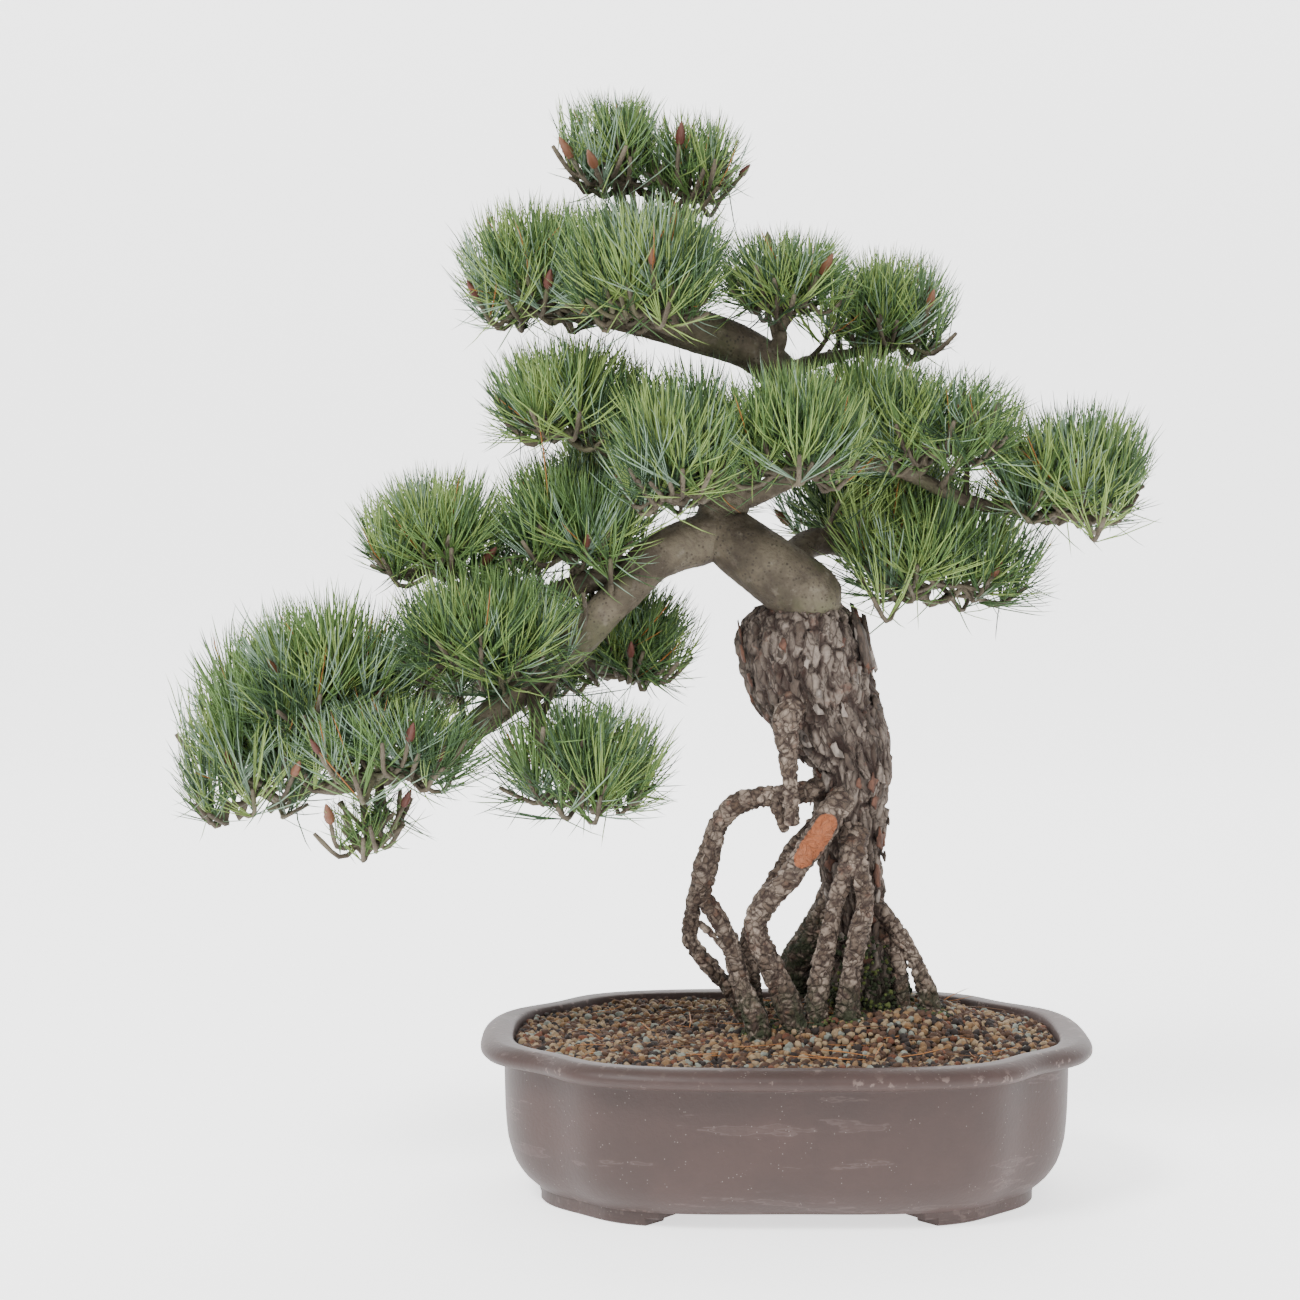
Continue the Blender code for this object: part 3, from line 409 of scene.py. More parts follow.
class Shader:
    """A material on a principled shader, written as expressions. Scales are per metre."""

    def __init__(self, name, roughness=0.8, color=None):
        self.material = bpy.data.materials.new(name)
        self.material.use_nodes = True
        self.tree = self.material.node_tree
        self.main = self.tree.nodes["Principled BSDF"]
        self.set("Roughness", roughness)
        if color is not None:
            self.set("Base Color", color)

    def set(self, name, value):
        give(self.tree, self.main.inputs[name], value)

    def node(self, kind, settings, values, output=0):
        return Wire(self, add_node(self.tree, kind, settings, values)[output])

    def place(self):
        return self.node("ShaderNodeTexCoord", {}, {}, "Object")

    def stretched(self, height):
        values = {"Vector": self.place(), "Scale": (1.0, 1.0, height)}
        return self.node("ShaderNodeMapping", {}, values)

    def noise(self, scale, detail=3.0, where=None):
        values = {"Vector": where or self.place(), "Scale": scale, "Detail": detail}
        return self.node("ShaderNodeTexNoise", {}, {**values, "Roughness": 0.6}, "Fac")

    def cells(self, scale, where=None, feature="F1", output="Distance"):
        values = {"Vector": where or self.place(), "Scale": scale}
        return self.node("ShaderNodeTexVoronoi", {"feature": feature}, values, output)

    def warped(self, scale, amount, where):
        """Places pushed about by noise, so that cells look torn."""
        values = {"Vector": where, "Scale": scale, "Detail": 3.0}
        push = self.node("ShaderNodeTexNoise", {}, values, "Color")
        values = {0: push, 1: (amount, amount, amount), 2: where}
        return self.node("ShaderNodeVectorMath", {"operation": "MULTIPLY_ADD"}, values, "Vector")

    def own(self, name):
        return self.node("ShaderNodeAttribute", {"attribute_name": name}, {}, "Fac")

    def mix(self, share, low, high):
        values = {0: share, 6: low, 7: high}
        return self.node("ShaderNodeMix", {"data_type": "RGBA"}, values, 2)

    def paint(self, color, *layers):
        """Lays screen colours over a colour, each with its share, for the whole surface."""
        for share, screen in layers:
            color = self.mix(share, color, tint(*screen))
        self.set("Base Color", color)

    def bump(self, height, distance, strength):
        values = {"Height": height, "Distance": distance, "Strength": strength}
        self.set("Normal", self.node("ShaderNodeBump", {}, values, "Normal"))


def clay_material():
    """Unglazed purplish brown clay with a mauve bloom, tide marks, fine specks and worn edges."""
    clay = Shader("clay_body", 0.72)
    wide = clay.noise(14.0, 4.0)
    bands = clay.noise(9.0, 5.0, clay.stretched(6.0))
    fine = clay.noise(420.0, 2.0)
    specks = 1.0 - clay.cells(430.0).step(0.10, 0.17)
    keep = clay.noise(90.0, 1.0).step(0.56, 0.60)
    tide = bands.step(0.60, 0.61) * (1.0 - bands.step(0.61, 0.63))
    chips = clay.own("edge") * clay.noise(150.0, 3.0).step(0.58, 0.66)
    clay.paint(
        clay.mix(wide.step(0.35, 0.7), tint(62, 43, 38), tint(75, 54, 49)),
        (bands.step(0.56, 0.70) * 0.30, (104, 84, 80)),
        (tide * 0.25, (126, 108, 104)),
        (fine.step(0.35, 0.7) * 0.25, (66, 46, 42)),
        (specks * keep * 0.4, (180, 170, 162)),
        (chips * 0.45, (150, 130, 122)),
    )
    clay.set("Roughness", 0.46 + 0.2 * wide)
    clay.bump(fine + 0.6 * clay.noise(160.0, 3.0), 0.0004, 0.5)
    return clay.material


def bark_material(name, gap, low, high, length, fissures):
    """Torn plates over dark fissures: the large plates come from the mesh's own values."""
    bark = Shader(name, 0.9)
    grain = bark.noise(320.0, 6.0)
    broad = bark.noise(38.0, 4.0)
    torn = bark.warped(70.0, 0.012, bark.stretched(length))
    edge = bark.cells(200.0, torn, "DISTANCE_TO_EDGE")
    shade = bark.cells(200.0, torn, "F1", "Color")
    pale = bark.own("plate") * 0.35 + broad * 0.8 + shade * 0.55 + grain * 0.3 - 0.66
    crack = 1.0 - bark.own("crack").step(0.0, 0.8)
    bare = (bark.own("bare") + 0.5 * broad - 0.25).step(0.45, 0.6)
    green = bark.own("moss") * (0.4 + bark.noise(150.0, 3.0)).step(0.75, 1.0)
    bark.paint(
        bark.mix(pale.step(0.0, 0.7), tint(*low), tint(*high)),
        (bark.noise(85.0, 4.0).step(0.56, 0.68) * 0.6, gap),
        (grain.step(0.45, 0.72) * 0.55, (52, 38, 30)),
        ((1.0 - edge.step(0.0, 0.10)) * 0.75, (40, 26, 20)),
        (crack * fissures, (48, 30, 23)),
        (bare * 0.9, (172, 98, 58)),
        (green, (46, 52, 28)),
    )
    bark.bump(edge.step(0.0, 0.25) + grain + 0.5 * bark.noise(800.0, 2.0), 0.0014, 0.9)
    return bark.material


def smooth_bark_material(name):
    """Young grey-brown bark with fine dark speckles and patches of green algae."""
    bark = Shader(name, 0.8)
    wide = bark.noise(40.0, 4.0)
    spots = 1.0 - bark.cells(420.0).step(0.20, 0.38)
    crack = 1.0 - bark.own("crack").step(0.0, 0.6)
    bark.paint(
        bark.mix(wide.step(0.35, 0.65), tint(72, 62, 48), tint(112, 102, 84)),
        (bark.noise(18.0, 3.0).step(0.52, 0.66) * 0.55, (84, 88, 54)),
        (bark.noise(120.0, 4.0).step(0.55, 0.7) * 0.4, (140, 132, 116)),
        (spots * bark.noise(110.0, 2.0).step(0.4, 0.6) * 0.7, (48, 40, 32)),
        (crack * 0.3, (64, 52, 44)),
    )
    bark.bump(bark.noise(420.0, 5.0) + 0.7 * wide + bark.noise(130.0, 3.0), 0.0012, 0.9)
    return bark.material


def darker(color, share):
    return tuple(share * value for value in color[:3]) + (1.0,)


def mottled(name, roughness, dark, pale, grain, bump, height=1.0):
    """Two colours broken up by a noise of this scale, detail and steps, and a finer bump."""
    made = Shader(name, roughness)
    scale, detail, low, high = grain
    share = made.noise(scale, detail, made.stretched(height)).step(low, high)
    made.set("Base Color", made.mix(share, dark, pale))
    made.bump(made.noise(*bump[:2]), *bump[2:])
    return made.material


def plain_materials(*rows):
    """A material for each row of name, roughness and colour."""
    return [Shader(*row).material for row in rows]


# Meshes


def link(name, data):
    made = bpy.data.objects.new(name, data)
    bpy.context.scene.collection.objects.link(made)
    return made


def mesh_object(name, places, faces, materials=()):
    mesh = bpy.data.meshes.new(name)
    mesh.from_pydata(places, [], faces)
    for material in materials:
        mesh.materials.append(material)
    mesh.shade_smooth()
    return link(name, mesh)


class Build:
    """Points in millimetres, faces and per-point values, gathered for one mesh."""

    def __init__(self):
        self.points = []
        self.faces = []
        self.values = {}
        self.count = 0

    def add(self, points, faces, **values):
        points = np.asarray(points, float)
        self.points.append(points)
        self.faces.extend([tuple(self.count + corner for corner in face) for face in faces])
        for name, value in values.items():
            self.values.setdefault(name, []).append(np.broadcast_to(value, len(points)))
        self.count += len(points)

    def piece(self, name, material):
        points = np.concatenate(self.points) * MM + SHIFT
        made = mesh_object(name, points.tolist(), self.faces, [material])
        for key, value in self.values.items():
            own = made.data.attributes.new(key, "FLOAT", "POINT")
            own.data.foreach_set("value", np.concatenate(value).astype(np.float32))
        return made


def grid_faces(rings, sides):
    """Faces of a closed tube, with a point at each end after the last ring."""
    faces = []
    for i in range(rings - 1):
        for k in range(sides):
            after = (k + 1) % sides
            low, high = i * sides, (i + 1) * sides
            faces.append((low + k, low + after, high + after, high + k))
    first, last = rings * sides, rings * sides + 1
    for k in range(sides):
        after = (k + 1) % sides
        faces.append((first, after, k))
        faces.append((last, (rings - 1) * sides + k, (rings - 1) * sides + after))
    return faces


def dense_route(points, step):
    """Rows of centre and radius on the source's smooth curve, about a step apart."""
    table = np.array(points, float)
    ends = np.vstack((2 * table[0] - table[1], table, 2 * table[-1] - table[-2]))
    rows = [table[0]]
    for before, start, end, after in zip(ends, ends[1:], ends[2:], ends[3:]):
        count = max(2, round(np.linalg.norm((end - start)[:3]) / step))
        for t in (np.arange(count) + 1) / count:
            turn = (2 * before - 5 * start + 4 * end - after) * t**2
            swing = (3 * start - before - 3 * end + after) * t**3
            rows.append((2 * start + (end - before) * t + turn + swing) / 2)
    return np.array(rows)


def unit(rows):
    return rows / np.maximum(np.linalg.norm(rows, axis=-1, keepdims=True), 1e-9)


def frames_along(centres):
    """Tangent, side and up at each centre, with no twist between them."""
    tangents = unit(np.gradient(centres, axis=0))
    side = np.array(Vector(tangents[0]).orthogonal())
    sides = []
    for tangent in tangents:
        side = side - side.dot(tangent) * tangent
        side = side / np.linalg.norm(side)
        sides.append(side)
    sides = np.array(sides)
    return tangents, sides, np.cross(tangents, sides)


def spokes(centres, sides):
    """The turns round a limb, and the way out from each of its centres at each turn."""
    _, across, up = frames_along(centres)
    turn = 2 * math.pi * np.arange(sides) / sides
    out = np.cos(turn)[None, :, None] * across[:, None] + np.sin(turn)[None, :, None] * up[:, None]
    return turn, out


def smooth_share(value, low, high):
    t = min(1.0, max(0.0, (value - low) / (high - low)))
    return t * t * (3 - 2 * t)


class Relief:
    """How bark stands out of a limb: plates this wide and long with fissures this deep between
    them, plates that rise by different amounts, and lumps in share of the limb's radius."""

    def __init__(self, width, length, depth, plates, lumps, seed):
        self.width, self.length = width, length
        self.depth, self.plates, self.lumps = depth, plates, lumps
        self.offset = Vector((seed * 3.1, seed * 1.7, seed * 2.3))

    def at(self, around, radius, along):
        """Rise of the surface in millimetres, plate value and crack value at one point."""
        girth = (math.cos(around) * radius / self.width, math.sin(around) * radius / self.width)
        place = Vector((*girth, along / self.length)) + self.offset
        place += 0.35 * noise.noise_vector(place * 1.4)
        near, cells = noise.voronoi(place)
        plate = 0.5 + 0.5 * noise.noise(cells[0] * 7.3)
        crack = smooth_share(near[1] - near[0], 0.0, 0.2)
        small, bits = noise.voronoi(place * 2.3)
        scale = smooth_share(small[1] - small[0], 0.0, 0.25)
        rise = self.depth * (crack - 1) + 0.45 * self.depth * (scale - 1)
        steps = 0.4 * self.plates * noise.noise(bits[0] * 5.1)
        rise += self.plates * (plate - 0.5) * crack + steps
        rise += self.lumps * radius * noise.noise(place * 0.35)
        rise += 0.2 * self.depth * noise.noise(place * 4.0)
        rise += 0.3 * noise.noise(place * 1.6)
        return rise, plate, crack * (0.55 + 0.45 * scale)


def add_limb(build, points, sides, step, relief, moss=None):
    """A closed limb along a route of the tables, with its bark."""
    route = dense_route(points, step)
    centres, radius = route[:, :3], route[:, 3:]
    turn, out = spokes(centres, sides)
    lengths = np.linalg.norm(np.diff(centres, axis=0), axis=1)
    along = np.concatenate(([0.0], np.cumsum(lengths)))
    bark = [[relief.at(a, r, s) for a in turn] for r, s in zip(route[:, 3], along)]
    rise, plate, crack = np.moveaxis(np.array(bark), 2, 0)
    spread = radius + np.minimum(rise, RISE_LIMIT * radius)
    spread[-1] *= TIP_SHARE
    places = (centres[:, None] + out * spread[..., None]).reshape(-1, 3)
    tip = centres[-1] + (centres[-1] - centres[-2]) * TIP_REACH
    places = np.vstack((places, centres[0], tip))
    green = np.zeros(len(places))
    if moss:
        top, fade = moss
        green = np.clip((top - places[:, 2]) / fade, 0.0, 1.0)
    start, end = BARE_ENDS
    span = end - start
    share = np.clip((places - start) @ span / span.dot(span), 0.0, 1.0)
    away = np.linalg.norm(places - start - share[:, None] * span, axis=1)
    bare = np.clip(BARE_EDGE - away / BARE_REACH, 0.0, 1.0)
    plate, crack = np.append(plate, (0.5, 0.5)), np.append(crack, (1.0, 1.0))
    faces = grid_faces(len(route), sides)
    build.add(places, faces, moss=green, bare=bare, plate=plate, crack=crack)


# Pot and soil


def outline_point(angle, inset):
    """A point of the pot's lobed oval, this far inside the rim's outer edge."""
    across, along = math.sin(angle), math.cos(angle)
    total = abs(along / POT_HALF_LENGTH) ** POT_SQUARENESS
    total += abs(across / POT_HALF_DEPTH) ** POT_SQUARENESS
    reach = total ** (-1 / POT_SQUARENESS)
    folded = math.degrees(math.atan2(abs(across), abs(along)))
    dip = math.exp(-(((folded - NOTCH_ANGLE) / NOTCH_SPREAD) ** 2))
    reach -= NOTCH_DEPTH * dip * (1 - inset / NOTCH_FADE)
    reach -= inset
    return along * reach, across * reach


def outline_ring(inset, height, sides):
    return [(*outline_point(2 * math.pi * k / sides, inset), height) for k in range(sides)]


def add_foot(build, quarter, span, low, high):
    """One closed bent block of a foot with rounded edges, in one quarter of the outline."""
    outer, inner = FOOT_INSETS
    edge = FOOT_ROUNDING
    section = (
        (outer + edge, low), (inner - edge, low), (inner, low + edge),
        (inner, high), (outer, high), (outer, low + edge),
    )
    flip_x = -1 if quarter in (1, 2) else 1
    flip_y = -1 if quarter in (2, 3) else 1
    places = []
    for step in range(FOOT_PARTS + 1):
        angle = math.radians(span[0] + (span[1] - span[0]) * step / FOOT_PARTS)
        for inset, height in section:
            x, y = outline_point(angle, inset)
            places.append((flip_x * x, flip_y * y, height))
    size = len(section)
    places = np.vstack((places, np.mean(places[:size], axis=0), np.mean(places[-size:], axis=0)))
    faces = grid_faces(FOOT_PARTS + 1, size)
    if flip_x * flip_y > 0:
        faces = [face[::-1] for face in faces]
    build.add(places, faces, edge=FOOT_WEAR)


def make_pot():
    """The lipped pot on its stepped feet. The drain holes, under it, are left out."""
    build = Build()
    places = []
    wear = []
    for inset, height, worn in POT_WALL:
        places += outline_ring(inset, height, POT_SIDES)
        wear += [worn] * POT_SIDES
    places += [(0, 0, POT_WALL[0][1]), (0, 0, POT_WALL[-1][1])]
    build.add(places, grid_faces(len(POT_WALL), POT_SIDES), edge=wear + [0.0, 0.0])
    stepped = (FOOT_SPAN[0] - FOOT_STEP_TURN, FOOT_SPAN[1] + FOOT_STEP_TURN)
    for quarter in range(4):
        add_foot(build, quarter, FOOT_SPAN, 0.0, FOOT_TOPS[0])
        add_foot(build, quarter, stepped, FOOT_STEP, FOOT_TOPS[1])
    pot = build.piece("pot_clay", clay_material())
    pot.data.set_sharp_from_angle(angle=math.radians(SHARP_DEGREES))
    return pot


def ground_height(x, y):
    """Height of the soil: a level mound round the trunk's foot that falls away to the rim."""
    away = math.hypot(x - FOOT_X, y - FOOT_Y)
    return GROUND - MOUND_HEIGHT * smooth_share(away, MOUND_FLAT, MOUND_REACH)


def make_soil():
    """The body of soil under the loose grains."""
    build = Build()
    places = []
    for inset, height in SOIL_WALL:
        places += outline_ring(inset, height, SOIL_SIDES)
    rim = outline_ring(SOIL_EDGE_INSET, 0.0, SOIL_SIDES)
    for share in np.linspace(1.0, 0.06, SOIL_RINGS):
        for edge_x, edge_y, _ in rim:
            x = FOOT_X + share * (edge_x - FOOT_X)
            y = FOOT_Y + share * (edge_y - FOOT_Y)
            rough = 0.9 * noise.noise(Vector((x, y, 3.0)) * 0.22) - SOIL_SINK
            places.append((x, y, ground_height(x, y) + rough))
    places += [(0, 0, SOIL_WALL[0][1]), (FOOT_X, FOOT_Y, GROUND - SOIL_SINK)]
    build.add(places, grid_faces(len(SOIL_WALL) + SOIL_RINGS, SOIL_SIDES))
    dark, pale = tint(58, 42, 30), tint(104, 80, 54)
    grain, bump = (210.0, 4.0, 0.35, 0.7), (420.0, 3.0, 0.001, 0.8)
    return build.piece("soil_body", mottled("soil_body", 0.95, dark, pale, grain, bump))


# Small shapes, repeated by Geometry Nodes


def needle_shape(name, bend):
    """A three-sided needle of unit length along Z that bends towards X."""
    rings = ((0.0, 0.0085), (0.38, 0.0108), (0.78, 0.0080))
    places = []
    for t, radius in rings:
        for k in range(3):
            turn = 2 * math.pi * k / 3
            places.append((bend * t * t + radius * math.cos(turn), radius * math.sin(turn), t))
    places += [(0, 0, 0), (bend, 0, 1.0)]
    return mesh_object(name, places, grid_faces(len(rings), 3))


def bud_shape(name):
    """A scaly bud of unit length along Z: rings that overlap like its scales."""
    rings = (
        (0.0, 0.13), (0.08, 0.19), (0.16, 0.17), (0.2, 0.22), (0.34, 0.2), (0.37, 0.22),
        (0.52, 0.17), (0.55, 0.185), (0.7, 0.12), (0.73, 0.13), (0.9, 0.06),
    )
    sides = 8
    places = []
    for number, (t, radius) in enumerate(rings):
        for k in range(sides):
            turn = 2 * math.pi * (k + 0.5 * (number // 2 % 2)) / sides
            places.append((radius * math.cos(turn), radius * math.sin(turn), t))
    places += [(0, 0, 0), (0, 0, 1.0)]
    return mesh_object(name, places, grid_faces(len(rings), sides))


def grain_shape(number):
    """An uneven rounded grain of unit radius."""
    bm = bmesh.new()
    bmesh.ops.create_icosphere(bm, subdivisions=2, radius=1.0)
    for vert in bm.verts:
        lump = noise.noise(vert.co * 1.1 + Vector((number * 5.3, 0, 0)))
        fine = noise.noise(vert.co * 2.6 + Vector((0, number * 3.7, 0)))
        vert.co *= 0.92 + 0.34 * lump + 0.12 * fine
    name = f"grain_{number}"
    mesh = bpy.data.meshes.new(name)
    bm.to_mesh(mesh)
    bm.free()
    mesh.shade_smooth()
    return link(name, mesh)


def flake_shape(number):
    """A thin ragged plate of bark: its length is along X and it stands out along Z."""
    corners = 9
    low, high, crown = -0.1, 0.12, 0.2
    places = []
    for height, size in ((low, 1.0), (high, 0.9)):
        for k in range(corners):
            turn = 2 * math.pi * k / corners
            ragged = 0.85 + 0.75 * noise.noise(Vector((number * 9.1, k * 2.3 + 0.4, 0.7)))
            x, y = ragged * size * math.cos(turn), 0.5 * ragged * size * math.sin(turn)
            places.append((x, y, height))
    places += [(0, 0, low), (0, 0, crown)]
    return mesh_object(f"flake_{number}", places, grid_faces(2, corners))


def forget(shapes):
    for shape in shapes:
        bpy.data.objects.remove(shape)


def scatter_tree(shape_count, tone_count):
    """Geometry Nodes: one of the shapes on each point, made real, then dealt its material."""
    tree = bpy.data.node_groups.new("repeat_shapes", "GeometryNodeTree")
    sockets = [("Points", "Geometry")]
    sockets += [(f"Shape {k}", "Object") for k in range(shape_count)]
    sockets += [(f"Material {k}", "Material") for k in range(tone_count)]
    for name, kind in sockets:
        tree.interface.new_socket(name, in_out="INPUT", socket_type="NodeSocket" + kind)
    tree.interface.new_socket("Result", in_out="OUTPUT", socket_type="NodeSocketGeometry")
    given = add_node(tree, "NodeGroupInput", {}, {})

    def own(name, kind):
        settings, values = {"data_type": kind}, {"Name": name}
        return add_node(tree, "GeometryNodeInputNamedAttribute", settings, values)["Attribute"]

    joined = tree.nodes.new("GeometryNodeJoinGeometry")
    for k in reversed(range(shape_count)):
        values = {"Object": given[f"Shape {k}"], "As Instance": True}
        info = add_node(tree, "GeometryNodeObjectInfo", {}, values)
        tree.links.new(info["Geometry"], joined.inputs[0])
    values = {
        "Points": given["Points"],
        "Instance": joined.outputs[0],
        "Pick Instance": True,
        "Instance Index": own("shape", "INT"),
        "Rotation": own("turn", "FLOAT_VECTOR"),
        "Scale": own("size", "FLOAT_VECTOR"),
    }
    put = add_node(tree, "GeometryNodeInstanceOnPoints", {}, values)
    real = add_node(tree, "GeometryNodeRealizeInstances", {}, {"Geometry": put["Instances"]})
    flow = real["Geometry"]
    for k in range(tone_count):
        equal = {"data_type": "INT", "operation": "EQUAL"}
        same = add_node(tree, "FunctionNodeCompare", equal, {2: own("tone", "INT"), 3: k})
        values = {"Geometry": flow, "Selection": same["Result"], "Material": given[f"Material {k}"]}
        flow = add_node(tree, "GeometryNodeSetMaterial", {}, values)["Geometry"]
    add_node(tree, "NodeGroupOutput", {}, {"Result": flow})
    return tree


TREES = {}


def scatter(name, places, turns, sizes, picks, tones, shapes, materials):
    """One plain mesh with a small shape at each place, in millimetres."""
    count = len(places)
    mesh = bpy.data.meshes.new(name + "_points")
    mesh.vertices.add(count)
    mesh.vertices.foreach_set("co", (np.asarray(places) * MM + SHIFT).astype(np.float32).ravel())
    if np.ndim(sizes) == 1:
        sizes = np.repeat(sizes[:, None], 3, axis=1)
    for key, kind, field, values in (
        ("turn", "FLOAT_VECTOR", "vector", np.asarray(turns, np.float32)),
        ("size", "FLOAT_VECTOR", "vector", (sizes * MM).astype(np.float32)),
        ("shape", "INT", "value", np.broadcast_to(picks, count).astype(np.int32)),
        ("tone", "INT", "value", np.asarray(tones, np.int32)),
    ):
        mesh.attributes.new(key, kind, "POINT").data.foreach_set(field, values.ravel())
    carrier = link(name, mesh)
    kind = (len(shapes), len(materials))
    if kind not in TREES:
        TREES[kind] = scatter_tree(*kind)
    modifier = carrier.modifiers.new("repeat", "NODES")
    modifier.node_group = TREES[kind]
    given = {f"Shape {k}": shape for k, shape in enumerate(shapes)}
    given |= {f"Material {k}": material for k, material in enumerate(materials)}
    for item in TREES[kind].interface.items_tree:
        if item.name in given:
            modifier[item.identifier] = given[item.name]
    graph = bpy.context.evaluated_depsgraph_get()
    result = bpy.data.meshes.new_from_object(carrier.evaluated_get(graph))
    carrier.modifiers.remove(modifier)
    carrier.data = result
    result.name = name
    for key in ("turn", "size", "shape", "tone"):
        if key in result.attributes:
            result.attributes.remove(result.attributes[key])
    return carrier


def euler_rows(x_axis, z_axis):
    """XYZ turns that bring local Z to z_axis and local X as near as can be to x_axis."""
    z_axis = unit(z_axis)
    x_axis = unit(x_axis - (x_axis * z_axis).sum(1, keepdims=True) * z_axis)
    y_axis = np.cross(z_axis, x_axis)
    pitch = np.arcsin(np.clip(-x_axis[:, 2], -1, 1))
    roll = np.arctan2(y_axis[:, 2], z_axis[:, 2])
    yaw = np.arctan2(x_axis[:, 1], x_axis[:, 0])
    return np.stack((roll, pitch, yaw), axis=1)


# Growth, by the source's rule and on to finer shoots. Twigs are routes like the tables' own, and
# a shoot is its foot, its heading, its mass and its age value, which is below zero where painted
# shade darkens its needles.


def space_share(mass, points):
    """How far out in the mass's rounded box points lie: 1 is its surface."""
    centre, half = np.array(mass[0], float), np.array(mass[1], float)
    return (np.abs((points - centre) / half) ** 3).sum(axis=-1)


def lowest_shoot(start, heading, centre, half):
    low = centre[2] - half[2] + SHOOT_FLOOR
    return max(low, start.z + SHOOT_RISE) if heading.z > 0.3 else low


def shoot_tips(centre, half, low, count, rng):
    """The foot and heading of each shoot: a golden-angle spiral over the mass's domed pad."""
    reach = [max(half[a] - SHOOT_MARGIN, 6.0) for a in range(2)]
    high = max(low + 4.0, centre[2] + half[2] - NEEDLE_LENGTH - 14.0)
    turn = rng.uniform(0, 2 * math.pi)
    shoots = []
    for k in range(count):
        ring = math.sqrt((k + 0.35) / count)
        angle = turn + k * GOLDEN_TURN
        rise = 1 - ring**2 if k % 3 else rng.uniform(0, 0.4)
        x = centre[0] + reach[0] * ring * math.cos(angle) + rng.uniform(-3, 3)
        y = centre[1] + reach[1] * ring * math.sin(angle) + rng.uniform(-3, 3)
        place = Vector((x, y, low + (high - low) * rise + rng.uniform(-2, 2)))
        lean = Vector((math.cos(angle), math.sin(angle), 0)) * (0.25 + 0.55 * ring)
        shoots.append((place, (Vector((0, 0, 1)) + lean).normalized()))
    return shoots


def stem_start(limb, place, centre):
    """Inside the wood that the stem leaves, and the way it leaves."""
    if place is None:
        route = TOP if limb == "trunk" else BOUGHS[limb]
        before, tip = (Vector(point[:3]) for point in route[-2:])
        return tip, (tip - before).normalized()
    inside = Vector(place)
    return inside, (Vector(centre) - inside).normalized()


def twig(places, radii):
    return [(*place, radius) for place, radius in zip(places, radii)]


def add_shoot(twigs, shoots, places, radii, way, length, mass, age_and_shade):
    """A shoot from the last of the places, and the twig that leads to it."""
    foot = places[-1]
    twigs.append(twig((*places, foot + way * length), radii))
    shoots.append((np.array(foot), np.array(way), mass, age_and_shade))


def grow_mass(name, seed, twigs, shoots):
    """The mass's stem, twigs and shoots, and the skirt of low shoots round it."""
    limb, place, centre, half, count = MASSES[name]
    rng = random.Random(seed)
    start, heading = stem_start(limb, place, centre)
    low = lowest_shoot(start, heading, centre, half)
    tips = shoot_tips(centre, half, low, count + 1, rng)
    under = Vector((centre[0], centre[1], low - 8))
    hub = start.lerp(under, 0.55) + Vector((0, 0, 3))
    stem = (start, start + heading * 7, hub, hub.lerp(under, 0.4))
    twigs.append(twig(stem, STEM_RADII))
    wood = [(place, (place - start).length) for place in stem[1:]]
    for place, lean in sorted(tips, key=lambda tip: (tip[0] - hub).length):
        joint, travelled = min(wood, key=lambda item: (item[0] - place).length + 0.3 * item[1])
        span = (place - joint).length
        middle = joint.lerp(place, 0.55) - Vector((0, 0, 0.12 * span))
        twigs.append(twig((joint, middle, place), TWIG_RADII))
        wood += [(middle, travelled + span / 2), (place, travelled + span)]
        side = lean.orthogonal().normalized()
        up = lean.cross(side)
        turn = rng.uniform(0, 2 * math.pi)
        for k in range(SHOOTS_PER_BRUSH):
            angle = turn + k * GOLDEN_TURN
            out = math.cos(angle) * side + math.sin(angle) * up
            foot = place + out * rng.uniform(9, 24) + lean * rng.uniform(-6, 8)
            way = (lean + out * rng.uniform(0.2, 0.7) + Vector((0, 0, 0.35))).normalized()
            places = (place, place.lerp(foot, 0.5) - Vector((0, 0, 2.0)), foot)
            add_shoot(twigs, shoots, places, SHOOT_RADII, way, 20, name, rng.random())
    reach = [max(half[a] - 0.8 * SHOOT_MARGIN, 8.0) for a in range(2)]
    for k in range(round(count * SKIRT_SHARE)):
        angle = turn + k * GOLDEN_TURN * 1.7
        out = Vector((math.cos(angle), math.sin(angle), 0))
        x, y = (centre[a] + reach[a] * out[a] for a in range(2))
        foot = Vector((x, y, low + rng.uniform(-9, 12)))
        joint, _ = min(wood, key=lambda item: (item[0] - foot).length)
        way = (out + Vector((0, 0, rng.uniform(0.35, 1.1)))).normalized()
        places = (joint, joint.lerp(foot, 0.5) - Vector((0, 0, 3.0)), foot)
        # Mostly below zero: the skirt's needles get the dark tones of painted shade under the mass
        age_and_shade = rng.uniform(-1.0, 0.25)
        add_shoot(twigs, shoots, places, SKIRT_RADII, way, 18, name, age_and_shade)


